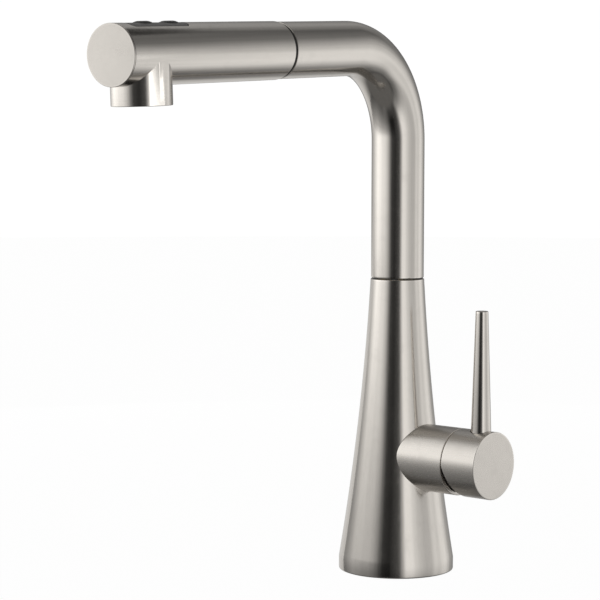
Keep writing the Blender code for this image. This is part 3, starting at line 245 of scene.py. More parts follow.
class Graph:
    """The nodes of one material or world."""

    def __init__(self, tree):
        self.tree = tree

    def node(self, kind, settings=None, sockets=None, output=0):
        """Add a node: its settings first, then its sockets' values or links. Returns one output."""
        node = self.tree.nodes.new(kind)
        for key, value in (settings or {}).items():
            if key == "stops":
                self.set_stops(node.color_ramp, value)
            else:
                setattr(node, key, value)
        for key, value in (sockets or {}).items():
            socket = node.inputs[key]
            if isinstance(value, Value):
                self.tree.links.new(value.socket, socket)
            else:
                socket.default_value = value
        return Value(self, node.outputs[output])

    def set_stops(self, ramp, stops):
        """Place a ramp's (place, colour) stops, eased between them."""
        ramp.interpolation = "EASE"
        while len(ramp.elements) < len(stops):
            ramp.elements.new(1.0)
        for element, (place, colour) in zip(ramp.elements, stops):
            element.position = place
            element.color = colour

    def attribute(self, name, output):
        return self.node("ShaderNodeAttribute", {"attribute_name": name}, output=output)

    def stretch(self, vector, scale):
        return self.node("ShaderNodeVectorMath", {"operation": "MULTIPLY"}, {0: vector, 1: scale})

    def noise(self, vector, scale=1.0, detail=2.0, roughness=0.5):
        return self.node("ShaderNodeTexNoise", {"noise_dimensions": "3D"},
                         {"Vector": vector, "Scale": scale, "Detail": detail,
                          "Roughness": roughness})

    def blend(self, share, first, second):
        """A colour between two colours."""
        return self.node("ShaderNodeMix", {"data_type": "RGBA"},
                         {0: share, 6: first, 7: second}, output=2)

    def bump(self, height, strength, distance):
        return self.node("ShaderNodeBump", sockets={"Height": height, "Strength": strength,
                                                    "Distance": distance})

    def curve(self, share, stops):
        """A smooth curve through (share, value) stops."""
        top = max(value for place, value in stops)
        levels = [(place, (value / top,) * 3 + (1.0,)) for place, value in stops]
        return top * self.node("ShaderNodeValToRGB", {"stops": levels}, {"Fac": share})


def new_finish(name, sockets, surface):
    """A Principled material: plain socket values, then what surface(graph) returns for the rest."""
    material = bpy.data.materials.new(name)
    material.use_nodes = True
    graph = Graph(material.node_tree)
    shader = material.node_tree.nodes["Principled BSDF"]
    for key, value in sockets.items():
        shader.inputs[key].default_value = value
    for key, value in surface(graph).items():
        material.node_tree.links.new(value.socket, shader.inputs[key])
    return material


def grey(level, warm=0.0):
    """A colour near grey, warmer or cooler."""
    return (level * (1 + warm), level, level * (1 - warm), 1.0)


# ---- finishes -------------------------------------------------------------------------------
def nickel_surface(lines, light, dark, base_roughness, relief):
    """Brushed plate: fine lines laid by the grain, soft drifts, and bright worn edges."""
    def surface(graph):
        grain = graph.attribute("grain", 1)
        wear = graph.attribute("wear", 2)
        fine = graph.noise(graph.stretch(grain, lines), 1.0, 3.0, 0.6)
        broad = graph.noise(graph.stretch(grain, tuple(0.22 * a for a in lines)), 1.0, 2.0, 0.5)
        drift = graph.noise(grain, 35.0, 3.0, 0.55)
        smudge = graph.noise(grain, 110.0, 4.0, 0.65).ramp(0.48, 0.72)
        rub = (wear * (0.6 + 0.8 * graph.noise(grain, 900.0, 2.0))).least(1.0)
        tone = (0.3 + 0.35 * fine + 0.25 * broad + 0.2 * drift - 0.1 * smudge + 0.5 * rub)
        colour = graph.blend(tone.most(0.0).least(1.0), dark, light)
        roughness = (base_roughness + 0.10 * (fine - 0.5) + 0.07 * (drift - 0.5)
                     + 0.04 * smudge - 0.05 * rub)
        return {"Base Color": colour, "Roughness": roughness,
                "Normal": graph.bump(0.6 * fine + 0.4 * broad, relief, 0.00002)}
    return surface


def rubber_surface(graph):
    """Black rubber with a fine speck, chalky where it is cloudy or rubbed."""
    grain = graph.attribute("grain", 1)
    wear = graph.attribute("wear", 2)
    speck = graph.noise(grain, 2400.0, 2.0)
    cloud = graph.noise(grain, 160.0, 3.0)
    chalk = (cloud.ramp(0.45, 0.8) * 0.5 + wear * 0.5).least(1.0)
    return {"Base Color": graph.blend(chalk, grey(0.012), grey(0.035, 0.03)),
            "Roughness": 0.55 + 0.2 * cloud, "Normal": graph.bump(speck, 0.25, 0.00004)}


def moulded_surface(dark, light, base_roughness, pit_scale):
    """Moulded plastic with a spark-eroded skin, paler along its edges."""
    def surface(graph):
        grain = graph.attribute("grain", 1)
        wear = graph.attribute("wear", 2)
        pits = graph.noise(grain, pit_scale, 2.0, 0.6)
        cloud = graph.noise(grain, 120.0, 3.0)
        shine = graph.noise(grain, 260.0, 3.0).ramp(0.5, 0.75)
        share = (0.2 + 0.4 * cloud + 0.35 * wear).least(1.0)
        return {"Base Color": graph.blend(share, dark, light),
                "Roughness": base_roughness + 0.12 * (pits - 0.5) - 0.1 * shine,
                "Normal": graph.bump(pits, 0.3, 0.00003)}
    return surface


def turned_surface(dark, light, base_roughness):
    """Machined metal with tool rings and a thin tarnish."""
    def surface(graph):
        place = graph.node("ShaderNodeTexCoord", output=3)
        rings = graph.noise(graph.stretch(place, (90.0, 90.0, 2600.0)), 1.0, 2.0)
        tarnish = graph.noise(place, 130.0, 4.0, 0.6).ramp(0.45, 0.7)
        return {"Base Color": graph.blend(0.75 * tarnish + 0.25 * rings, light, dark),
                "Roughness": base_roughness + 0.12 * rings + 0.12 * tarnish,
                "Normal": graph.bump(rings, 0.3, 0.00003)}
    return surface


def chalky_surface(dark, light, base_roughness):
    """Inner mouldings and ceramic, seen only when the faucet is taken apart."""
    def surface(graph):
        place = graph.node("ShaderNodeTexCoord", output=3)
        cloud = graph.noise(place, 220.0, 4.0, 0.6)
        speck = graph.noise(place, 2600.0, 2.0)
        return {"Base Color": graph.blend(cloud, dark, light),
                "Roughness": base_roughness + 0.15 * cloud,
                "Normal": graph.bump(speck, 0.2, 0.00003)}
    return surface


def yarns(graph, around, along, fibre):
    """Crossed yarns from two phases in turns: colour, roughness and relief."""
    right = ((around + along) * math.tau).sine()
    left = ((around - along) * math.tau).sine()
    over = (right * left).ramp(-0.25, 0.25)
    yarn = over * right.size() + (1 - over) * left.size()
    tone = (0.7 * yarn + 0.35 * fibre).least(1.0)
    return {"Base Color": graph.blend(tone, grey(0.008), grey(0.075)),
            "Roughness": 0.62 - 0.2 * yarn + 0.1 * fibre,
            "Normal": graph.bump(yarn + 0.15 * fibre, 0.8, 0.0004)}


def braid_surface(graph):
    """The braid on the hose that pulls out, laid by its own turns and length."""
    fibre = graph.noise(graph.attribute("grain", 1), 1500.0, 2.0)
    return yarns(graph, graph.attribute("around", 2), graph.attribute("along", 2), fibre)


def plain_braid_surface(graph):
    """The braid on the lengths of hose that stay inside."""
    place = graph.node("ShaderNodeTexCoord", output=3)
    x, y, z = (graph.node("ShaderNodeSeparateXYZ", sockets={"Vector": place}, output=k)
               for k in range(3))
    fibre = graph.noise(place, 1500.0, 2.0)
    return yarns(graph, (x + y) * 160.0, (z + y) * 160.0, fibre)


METAL = {"Metallic": 1.0}
NICKEL_LIGHT = (0.80, 0.765, 0.72, 1.0)
NICKEL_DARK = (0.60, 0.575, 0.54, 1.0)
# painted shade: the head's end takes the nickel's colours darkened by about an eighth, for a dimmer
# reflection on its face
FACED_LIGHT_SHADED = (0.70, 0.67, 0.63, 1.0)
FACED_DARK_SHADED = (0.53, 0.51, 0.48, 1.0)
DRAWN_LINES = (1100.0, 1100.0, 26.0)      # fine across the grain, long along it
FACED_LINES = (520.0, 520.0, 520.0)
FINISHES = {
    "satin_nickel": new_finish("satin_nickel_drawn", METAL, nickel_surface(
        DRAWN_LINES, NICKEL_LIGHT, NICKEL_DARK, base_roughness=0.145, relief=0.28)),
    "valve_nickel": new_finish("satin_nickel_valve", METAL, nickel_surface(
        DRAWN_LINES, NICKEL_LIGHT, NICKEL_DARK, base_roughness=0.28, relief=0.28)),
    "shaded_faced_nickel": new_finish("satin_nickel_faced_shaded", METAL, nickel_surface(
        FACED_LINES, FACED_LIGHT_SHADED, FACED_DARK_SHADED, base_roughness=0.24, relief=0.10)),
    "black_rubber": new_finish("black_rubber_matt", {}, rubber_surface),
    "dark_plastic": new_finish(
        "dark_plastic_moulded", {"Coat Weight": 0.15, "Coat Roughness": 0.3}, moulded_surface(
            grey(0.030), grey(0.060, 0.02), base_roughness=0.42, pit_scale=1500.0)),
    "button_plastic": new_finish(
        "button_plastic_moulded", {"Coat Weight": 0.2, "Coat Roughness": 0.25}, moulded_surface(
            grey(0.022), grey(0.048), base_roughness=0.36, pit_scale=1800.0)),
    "button_panel": new_finish(
        "button_panel_moulded", {"Coat Weight": 0.1, "Coat Roughness": 0.3}, moulded_surface(
            grey(0.10), grey(0.15, 0.02), base_roughness=0.36, pit_scale=1500.0)),
    "brass": new_finish("brass_machined", METAL, turned_surface(
        (0.36, 0.24, 0.10, 1.0), (0.74, 0.57, 0.28, 1.0), base_roughness=0.28)),
    "stainless_steel": new_finish("stainless_steel_turned", METAL, turned_surface(
        grey(0.38), grey(0.62), base_roughness=0.26)),
    "inner_black": new_finish("black_rubber_moulded", {}, chalky_surface(
        grey(0.012), grey(0.03), base_roughness=0.6)),
    "inner_dark": new_finish("dark_plastic_plain", {}, chalky_surface(
        grey(0.035), grey(0.07), base_roughness=0.42)),
    "inner_pale": new_finish("pale_plastic_plain", {}, chalky_surface(
        grey(0.6, 0.02), grey(0.76, 0.02), base_roughness=0.4)),
    "ceramic": new_finish(
        "ceramic_lapped", {"Coat Weight": 0.3, "Coat Roughness": 0.1}, chalky_surface(
            grey(0.78, 0.03), grey(0.9, 0.02), base_roughness=0.16)),
    "hose_braid": new_finish("hose_braid_woven", {}, braid_surface),
    "inner_braid": new_finish("hose_braid_plain", {}, plain_braid_surface),
    "dark_brass": new_finish("brass_blackened", METAL, turned_surface(
        (0.03, 0.027, 0.024, 1.0), (0.07, 0.06, 0.05, 1.0), base_roughness=0.4)),
    "inner_nickel": new_finish("nickel_plated", METAL, turned_surface(
        grey(0.42, 0.03), grey(0.62, 0.03), base_roughness=0.3)),
}
# which finish a slot takes on the solids inside, where it isn't the slot's own
INNER = {"black_rubber": "inner_black", "dark_plastic": "inner_dark", "pale_plastic": "inner_pale",
         "hose_braid": "inner_braid", "satin_nickel": "inner_nickel"}


# ---- places ---------------------------------------------------------------------------------
def spin(degrees, axis):
    """A turn about an axis."""
    return Matrix.Rotation(math.radians(degrees), 4, axis)


def shift(x, y, z):
    """A move in millimetres."""
    return Matrix.Translation((x * MM, y * MM, z * MM))


UPRIGHT = Matrix.Identity(4)
ON_VALVE = shift(0, 0, VALVE_Z) @ spin(90, "Y")          # local Z runs out along the valve
ON_LEVER = shift(LEVER_X, 0, VALVE_Z)
ON_SPOUT = spin(SPOUT_TURN, "Z")
ON_ARM = ON_SPOUT @ shift(0, 0, ARM_Z) @ spin(ARM_DROOP, "X")   # local -Y runs out along the arm
DOWN_ARM = ON_ARM @ spin(90, "X")                        # local Z runs out along the arm


def across_arm(t):
    """Local Z stands up from the arm's axis at a distance along it."""
    return ON_ARM @ shift(0, -t, 0)


# ---- mesh tools -----------------------------------------------------------------------------
def link(name, data):
    """A new object in the scene."""
    thing = bpy.data.objects.new(name, data)
    bpy.context.scene.collection.objects.link(thing)
    return thing


def mesh_from(work, name):
    """Turn finished mesh work into a mesh."""
    mesh = bpy.data.meshes.new(name)
    work.to_mesh(mesh)
    work.free()
    return mesh


def smooth(mesh, sharp=30.0):
    """Smooth shading that keeps edges from a given angle sharp."""
    mesh.shade_smooth()
    mesh.set_sharp_from_angle(angle=math.radians(sharp))


def add_piece(name, mesh, place, body, nodes, slot, finish=None):
    """Link a mesh as a visible piece that rides on a body and stands for its CAD nodes."""
    piece = link(name, mesh)
    piece.matrix_world = place
    mesh.materials.append(FINISHES[finish or slot])
    if "grain" not in mesh.attributes:
        fill_grain(mesh, [c for v in mesh.vertices for c in v.co])
    if body is not None:
        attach(piece, body)
    if nodes:
        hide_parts(*nodes)
    return piece


def fill_attribute(mesh, name, values):
    """One number for each of a mesh's points."""
    if name in mesh.attributes:
        mesh.attributes.remove(mesh.attributes[name])
    mesh.attributes.new(name, "FLOAT", "POINT").data.foreach_set("value", values)


def fill_grain(mesh, values):
    """Where each point lies for the finish: x and y across the grain, z along it."""
    mesh.attributes.new("grain", "FLOAT_VECTOR", "POINT").data.foreach_set("vector", values)


def finish_mesh(work, name, sharp=35.0):
    """Turn mesh work into a smooth mesh with its faces outward."""
    bmesh.ops.recalc_face_normals(work, faces=work.faces)
    mesh = mesh_from(work, name)
    smooth(mesh, sharp)
    return mesh


def circle(radius, z, sides):
    """Points round the Z axis, in metres."""
    return [(radius * MM * math.cos(math.tau * i / sides),
             radius * MM * math.sin(math.tau * i / sides), z * MM) for i in range(sides)]


def rounded_profile(points, closed):
    """Round a profile's corners: (r, z, round) points become (r, z, wear) points."""
    out = []
    count = len(points)
    for i, (r, z, corner) in enumerate(points):
        here = Vector((r, z))
        if corner == 0 or (not closed and i in (0, count - 1)):
            out.append((r, z, 0.0))
            continue
        before = Vector(points[i - 1][:2]) - here
        after = Vector(points[(i + 1) % count][:2]) - here
        turn = math.pi - before.angle(after)
        reach = min(corner * math.tan(turn / 2), before.length * 0.45, after.length * 0.45)
        start = here + before.normalized() * reach
        end = here + after.normalized() * reach
        guard = min(3.0 * reach + 0.25, before.length * 0.49)
        out.append((*(here + before.normalized() * guard), 0.0))
        for k in range(6):
            u = k / 5
            point = start * (1 - u) ** 2 + here * (2 * u * (1 - u)) + end * u ** 2
            out.append((*point, 1.0))
        guard = min(3.0 * reach + 0.25, after.length * 0.49)
        out.append((*(here + after.normalized() * guard), 0.0))
    return out


def lathe_mesh(name, profile, closed=True, sides=ROUND, sharp=35.0):
    """Spin (r, z, round) points about Z. An open profile starts and ends on the axis."""
    points = rounded_profile(profile, closed)
    work = bmesh.new()
    rings = []
    wear = []
    for r, z, worn in points:
        if r < 1e-6:
            rings.append([work.verts.new((0, 0, z * MM))])
            wear.append(worn)
            continue
        rings.append([work.verts.new(point) for point in circle(r, z, sides)])
        wear += [worn] * sides
    pairs = list(zip(rings, rings[1:]))
    if closed:
        pairs.append((rings[-1], rings[0]))
    for first, second in pairs:
        for i in range(sides):
            j = (i + 1) % sides
            corners = [first[i % len(first)], first[j % len(first)],
                       second[j % len(second)], second[i % len(second)]]
            work.faces.new(list(dict.fromkeys(corners)))
    mesh = finish_mesh(work, name, sharp)
    fill_attribute(mesh, "wear", wear)
    return mesh


def cylinder_tool(radius, low, high, place, sides=ROUND):
    """A plain closed cylinder to cut with, along the place's Z."""
    work = bmesh.new()
    bmesh.ops.create_cone(work, cap_ends=True, segments=sides, radius1=radius * MM,
                          radius2=radius * MM, depth=(high - low) * MM)
    bmesh.ops.translate(work, verts=work.verts, vec=(0, 0, (low + high) / 2 * MM))
    return tool_from(work, place)


def prism_tool(outline, low, high, place):
    """A plain closed prism over an outline in X and Y, to cut with."""
    work = bmesh.new()
    bottom = [work.verts.new((x * MM, y * MM, low * MM)) for x, y in outline]
    top = [work.verts.new((x * MM, y * MM, high * MM)) for x, y in outline]
    work.faces.new(bottom)
    work.faces.new(top)
    for i in range(len(outline)):
        j = (i + 1) % len(outline)
        work.faces.new((bottom[i], bottom[j], top[j], top[i]))
    return tool_from(work, place)


def tool_from(work, place):
    """Stand closed mesh work at a place, to cut or join with."""
    bmesh.ops.recalc_face_normals(work, faces=work.faces)
    tool = link("tool", mesh_from(work, "tool"))
    tool.matrix_world = place
    return tool


def carve(mesh, place, steps):
    """Apply Boolean steps, (operation, tool) in turn, to a mesh that stands at a place."""
    block = link("block", mesh)
    block.matrix_world = place
    for operation, tool in steps:
        step = block.modifiers.new(operation.lower(), "BOOLEAN")
        step.operation = operation
        step.object = tool
        step.solver = "EXACT"
    bpy.context.view_layer.update()
    graph = bpy.context.evaluated_depsgraph_get()
    carved = bpy.data.meshes.new_from_object(block.evaluated_get(graph))
    bpy.data.objects.remove(block)
    for tool in {tool for operation, tool in steps}:
        bpy.data.objects.remove(tool)
    carved.name = mesh.name
    carved.materials.clear()
    return carved


ON_ROUND = 0.03           # a point this near a cylinder lies on it
FACES_OUT = 0.94          # a face this much square to a cylinder's radius is part of it


def true_normals(mesh, rounds):
    """Shade a carved mesh by its true cylinders, (point, axis, radius) in the mesh's frame."""
    smooth(mesh)
    rounds = [(Vector(p) * MM, Vector(a).normalized(), r * MM) for p, a, r in rounds]
    normals = [Vector(corner.vector) for corner in mesh.corner_normals]
    for face in mesh.polygons:
        for index in face.loop_indices:
            co = mesh.vertices[mesh.loops[index].vertex_index].co
            chosen = normals[index]
            for point, axis, radius in rounds:
                out = (co - point) - (co - point).dot(axis) * axis
                if abs(out.length - radius) < ON_ROUND * MM:
                    out.normalize()
                    facing = out.dot(face.normal)
                    if abs(facing) > FACES_OUT:
                        chosen = out if facing > 0 else -out
                        break
            normals[index] = chosen
    mesh.normals_split_custom_set(normals)


def mark_edges(mesh, worn_edge=0.6, angle=30.0):
    """Wear on the mesh's sharp edges, none elsewhere."""
    work = bmesh.new()
    work.from_mesh(mesh)
    work.verts.ensure_lookup_table()
    worn = [0.0] * len(work.verts)
    for edge in work.edges:
        if len(edge.link_faces) == 2 and edge.calc_face_angle(0.0) > math.radians(angle):
            for vert in edge.verts:
                worn[vert.index] = worn_edge
    work.free()
    fill_attribute(mesh, "wear", worn)


def rounded_rectangle(length, width, corner, steps=12):
    """Outline with round corners, length along Y and width along X."""
    points = []
    for quarter, (side_x, side_y) in enumerate(((1, 1), (-1, 1), (-1, -1), (1, -1))):
        for i in range(steps + 1):
            angle = math.radians(90 * quarter + 90 * i / steps)
            points.append((side_x * (width / 2 - corner) + corner * math.cos(angle),
                           side_y * (length / 2 - corner) + corner * math.sin(angle)))
    return points


def oval(length, width, count=48):
    """Outline of an ellipse, length along Y and width along X."""
    turns = [math.tau * i / count for i in range(count)]
    return [(width / 2 * math.cos(turn), length / 2 * math.sin(turn)) for turn in turns]


# ---- body -----------------------------------------------------------------------------------
def body_radius(z):
    """The body's outer radius at a height."""
    share = min(max((BODY_TOP_Z - z) / (BODY_TOP_Z - FOOT_BAND), 0.0), 1.0)
    flare = FLARE_STRAIGHT * share + (1 - FLARE_STRAIGHT) * share ** 2
    return BODY_TOP_R + (FOOT_R - BODY_TOP_R) * flare


def make_body():
    """The flared body, bored for the valve and the stop screw, and what closes it at both ends."""
    stations = 60
    heights = [BODY_TOP_Z + (FOOT_BAND - BODY_TOP_Z) * i / stations for i in range(stations + 1)]
    outer = [(body_radius(z), z, 0) for z in heights]
    outer[0] = (BODY_TOP_R, BODY_TOP_Z, LIP_ROUND)
    low = BODY_TOP_Z - TOP_BORE_LENGTH
    inner = [(body_radius(z) - BODY_WALL, z, 0) for z in reversed(heights[::6]) if z < low]
    profile = outer + [(FOOT_R, 0.0, FOOT_ROUND), (inner[0][0], 0.0, 0)] + inner
    profile += [(body_radius(low) - BODY_WALL, low, 0), (TOP_BORE_R, low, 0),
                (TOP_BORE_R, BODY_TOP_Z, 0.2)]
    mesh = lathe_mesh("body", profile, sides=FINE)
    behind = shift(0, 0, STOP_Z) @ spin(-90, "X")
    mouth = cylinder_tool(BARREL_R + GAP, 0, SLEEVE_END_X, ON_VALVE, 64)
    hole = cylinder_tool(STOP_R + GAP, SHANK_R, BODY_TOP_R + 4, behind, 32)
    carved = carve(mesh, UPRIGHT, [("DIFFERENCE", mouth), ("DIFFERENCE", hole)])
    smooth(carved)
    high, foot = (BODY_TOP_Z - LIP_SHINE) * MM, FOOT_SHINE * MM
    worn = [1.0 if v.co.z > high or v.co.z < foot else 0.0 for v in carved.vertices]
    fill_attribute(carved, "wear", worn)
    add_piece("body", carved, UPRIGHT, "base", ["body_shell"], "satin_nickel")

    gasket = lathe_mesh("foot_gasket", [
        (GASKET_R, GASKET_TOP_Z, 0.2), (GASKET_R, 0.0, 0.3),
        (GASKET_BORE_R, 0.0, 0.3), (GASKET_BORE_R, GASKET_TOP_Z, 0.2)])
    add_piece("foot_gasket", gasket, UPRIGHT, "base", ["deck_gasket"], "black_rubber")
    low = (BODY_TOP_Z + NECK_BOTTOM_Z - WASHER_THICK) / 2
    washer = lathe_mesh("swivel_washer", [
        (WASHER_R, low + WASHER_THICK, 0.1), (WASHER_R, low, 0.1),
        (SHANK_R + GAP, low, 0), (SHANK_R + GAP, low + WASHER_THICK, 0)])
    add_piece("swivel_washer", washer, UPRIGHT, "base", ["thrust_washer"], "dark_plastic",
              "button_panel")
    screw = socket_screw("stop_screw", STOP_R, SHANK_R - STOP_DEPTH, body_radius(STOP_Z) - GAP,
                         STOP_SOCKET_R)
    add_piece("stop_screw", screw, behind, "base", ["spout_stop_screw"], "stainless_steel")


def socket_screw(name, radius, low, high, socket_r):
    """A headless screw with a hexagon socket in its top end and a light thread."""
    profile = [(0, low, 0), (radius - 0.5, low, 0)]
    pitch = 0.5
    turns = int((high - 0.3 - low - 0.5) / pitch)
    for i in range(turns):
        z = low + 0.5 + i * pitch
        profile += [(radius, z, 0), (radius - 0.2, z + pitch / 2, 0)]
    profile += [(radius, high - 0.25, 0), (radius - 0.25, high, 0), (0, high, 0)]
    mesh = lathe_mesh(name, profile, closed=False, sides=32)
    socket = prism_tool(oval(2 * socket_r, 2 * socket_r, 6), high - 1.3, high + 2, UPRIGHT)
    carved = carve(mesh, UPRIGHT, [("DIFFERENCE", socket)])
    smooth(carved)
    return carved


# ---- valve and handle -----------------------------------------------------------------------
class Barrel:
    """Rings about local Z whose heights vary round the circle, joined into a closed shell."""

    def __init__(self):
        self.work = bmesh.new()
        self.loops = []
        self.wear = []

    def ring(self, radius, height, worn=0.0):
        """Add a ring; height gives its local Z from x and y."""
        self.loops.append([self.work.verts.new((x * MM, y * MM, height(x, y) * MM))
                           for x, y in oval(2 * radius, 2 * radius, FINE)])
        self.wear += [worn] * FINE

    def skin(self, radius, start, end, start_round, end_round):
        """Outer skin from an uneven start edge to a flat end, both edges eased."""
        self.ring(radius - start_round, start, 1.0)
        self.ring(radius - start_round * 0.3, lambda x, y: start(x, y) + start_round * 0.3, 1.0)
        self.ring(radius, lambda x, y: start(x, y) + start_round, 1.0)
        first = start_round + 0.6
        last = end - end_round - 0.6
        for share in (0.0, 0.1, 0.3, 0.5, 0.7, 0.9, 1.0):
            self.ring(radius, lambda x, y: (start(x, y) + first) * (1 - share) + last * share)
        self.ring(radius, lambda x, y: end - end_round, 1.0)
        self.ring(radius - end_round * 0.3, lambda x, y: end - end_round * 0.3, 1.0)
        self.ring(radius - end_round, lambda x, y: end, 1.0)

    def mesh(self, name):
        mesh = finish_mesh(self.work, name)
        fill_attribute(mesh, "wear", self.wear)
        return mesh


def make_valve():
    """The housing on the body, a black ring of painted shade at its root, the handle on its end."""
    def saddle(x, y):
        """The housing's inner rim follows the body's round side."""
        z = VALVE_Z - x
        return math.sqrt((body_radius(z) + GAP) ** 2 - y ** 2)

    sleeve = Barrel()
    sleeve.skin(VALVE_R, saddle, SLEEVE_END_X, 0.12, 0.3)
    sleeve.ring(SLEEVE_IN_R, lambda x, y: SLEEVE_END_X)
    sleeve.ring(SLEEVE_IN_R, saddle)
    join_rings(sleeve.work, sleeve.loops, True)
    add_piece("valve_housing", sleeve.mesh("valve_housing"), ON_VALVE, "base", ["valve_sleeve"],
              "satin_nickel", "valve_nickel")
    # painted shade: a thin black ring sits in the gap under the housing's rim and darkens it
    shade_ring = Barrel()
    for radius, drop in ((VALVE_R - SHADE_RING_INSET, SHADE_RING_TOP), (VALVE_R - SHADE_RING_INSET, SHADE_RING_LOW),
                         (SLEEVE_IN_R, SHADE_RING_LOW), (SLEEVE_IN_R, SHADE_RING_TOP)):
        shade_ring.ring(radius, lambda x, y: saddle(x, y) - drop)
    join_rings(shade_ring.work, shade_ring.loops, True)
    add_piece("saddle_shade_ring", shade_ring.mesh("saddle_shade_ring"), ON_VALVE, "base", [], "black_rubber")
    make_hub()
    make_lever()


def make_hub():
    """The turning cap: bevelled rim, hollow round its boss, drilled for the lever and screw."""
    def wedge(x, y):
        """The cap's inner rim leans away on the underside, so that the cap can tip."""
        return CAP_START_X + max(0.0, x * math.tan(math.radians(CAP_BEVEL_ANGLE)))

    cap = Barrel()
    cap.skin(VALVE_R, wedge, CAP_END_X, 0.2, CAP_EDGE)
    for share in (0.95, 0.75, 0.5, 0.25):
        cap.ring(VALVE_R * share, lambda x, y: CAP_END_X)
    join_rings(cap.work, cap.loops, False)
    cap.work.faces.new(cap.loops[-1])
    outer_edge = cap.loops[0]
    cap.loops = []
    cap.ring(VALVE_R - CAP_WALL, wedge)
    cap.ring(VALVE_R - CAP_WALL, lambda x, y: CAP_RECESS_X)
    cap.ring(CAP_BOSS_R, lambda x, y: CAP_RECESS_X)
    cap.ring(CAP_BOSS_R, lambda x, y: CAP_BOSS_START_X)
    join_rings(cap.work, [outer_edge] + cap.loops, False)
    cap.work.faces.new(cap.loops[-1])
    socket = cylinder_tool(LEVER_BASE_R + GAP, LEVER_SEAT - GAP, VALVE_R + 2, ON_LEVER, 64)
    hole = cylinder_tool(GRUB_R + GAP, -VALVE_R - 2, -12, shift(GRUB_X, 0, VALVE_Z), 32)
    steps = [("DIFFERENCE", socket), ("DIFFERENCE", hole)]
    carved = carve(cap.mesh("handle_hub"), ON_VALVE, steps)
    true_normals(carved, [((0, 0, 0), (0, 0, 1), VALVE_R),
                          ((0, 0, 0), (0, 0, 1), VALVE_R - CAP_WALL),
                          ((0, 0, LEVER_X), (1, 0, 0), LEVER_BASE_R + GAP),
                          ((0, 0, GRUB_X), (1, 0, 0), GRUB_R + GAP)])
    add_piece("handle_hub", carved, ON_VALVE, "handle", ["handle_cap"], "satin_nickel",
              "valve_nickel")


def make_lever():
    """The tapered lever on its tenon, and the plug over the screw that holds the cap."""
    lever = lathe_mesh("lever_rod", [
        (0, LEVER_LENGTH, 0), (LEVER_TOP_R * 0.6, LEVER_LENGTH, 0),
        (LEVER_TOP_R, LEVER_LENGTH, 0.55), (LEVER_BASE_R, LEVER_SEAT, 0.3),
        (LEVER_TENON_R, LEVER_SEAT, 0), (LEVER_TENON_R, LEVER_TENON_LOW, 0.2),
        (0, LEVER_TENON_LOW, 0)], closed=False)
    add_piece("lever_rod", lever, ON_LEVER, "handle", ["lever"], "satin_nickel")
    low = -VALVE_R + CAP_EDGE
    plug = lathe_mesh("screw_plug", [
        (0, low + PLUG_THICK, 0), (GRUB_R, low + PLUG_THICK, 0.1), (GRUB_R, low, 0.35),
        (1.2, low, 0.1), (0.9, low + PLUG_DIMPLE, 0.1), (0, low + PLUG_DIMPLE, 0)],
        closed=False, sides=48)
    add_piece("screw_plug", plug, shift(GRUB_X, 0, VALVE_Z), "handle", ["cap_plug"],
              "dark_plastic")


def join_rings(work, loops, closed):
    """Quads between rings of equally many points; closed joins the last ring to the first."""
    pairs = list(zip(loops, loops[1:]))
    if closed:
        pairs.append((loops[-1], loops[0]))
    for first, second in pairs:
        for i in range(len(first)):
            j = (i + 1) % len(first)
            work.faces.new((first[i], first[j], second[j], second[i]))


# ---- spout ----------------------------------------------------------------------------------
def spout_line(stations):
    """Neck, bend and arm as (point, direction, distance) stations in the spout's own frame."""
    line = []
    straight = NECK_STRAIGHT_Z - NECK_BOTTOM_Z
    for i in range(stations):
        z = NECK_BOTTOM_Z + straight * i / stations
        line.append((Vector((0, 0, z)), Vector((0, 0, 1)), z - NECK_BOTTOM_Z))
    steps = 48
    for i in range(steps + 1):
        angle = BEND_ANGLE * i / steps
        point = Vector((0, -BEND_R * (1 - math.cos(angle)),
                        NECK_STRAIGHT_Z + BEND_R * math.sin(angle)))
        ahead = Vector((0, -math.sin(angle), math.cos(angle)))
        line.append((point, ahead, straight + BEND_R * angle))
    ahead = Vector((0, -math.cos(SLOPE), -math.sin(SLOPE)))
    start = line[-1]
    rest = SEAM_T - GAP - BEND_REACH
    for i in range(1, stations + 1):
        far = rest * i / stations
        line.append((start[0] + ahead * far, ahead, start[2] + far))
    return line


def sweep_mesh(name, line, profile, sides, round_ends):
    """Sweep a round tube along a line; profile holds its outer and inner radius."""
    outer_r, inner_r = profile
    work = bmesh.new()
    loops, wear, grain = [], [], []

    def ring(station, radius, worn, pull=0.0):
        """Add a ring round a station, or pulled ahead of it."""
        point, ahead, distance = station
        side = Vector((1, 0, 0))
        up = side.cross(ahead)
        verts = []
        for i in range(sides):
            angle = math.tau * i / sides
            out = side * math.cos(angle) + up * math.sin(angle)
            verts.append(work.verts.new((point + out * radius + ahead * pull) * MM))
            wear.append(worn)
            grain.extend((radius * math.cos(angle) * MM, radius * math.sin(angle) * MM,
                          distance * MM))
        loops.append(verts)

    first, last = line[0], line[-1]
    ring(first, outer_r - round_ends, 1.0)
    ring(first, outer_r - round_ends * 0.3, 1.0, round_ends * 0.3)
    ring(first, outer_r, 1.0, round_ends)
    ring(first, outer_r, 0.0, round_ends + 0.7)
    for station in line[1:-1]:
        ring(station, outer_r, 0.0)
    ring(last, outer_r, 0.0, -round_ends - 0.7)
    ring(last, outer_r, 1.0, -round_ends)
    ring(last, outer_r - round_ends * 0.3, 1.0, -round_ends * 0.3)
    ring(last, outer_r - round_ends, 1.0)
    for station in reversed(line):
        ring(station, inner_r, 0.0)
    join_rings(work, loops, True)
    mesh = finish_mesh(work, name)
    fill_attribute(mesh, "wear", wear)
    fill_grain(mesh, grain)
    return mesh


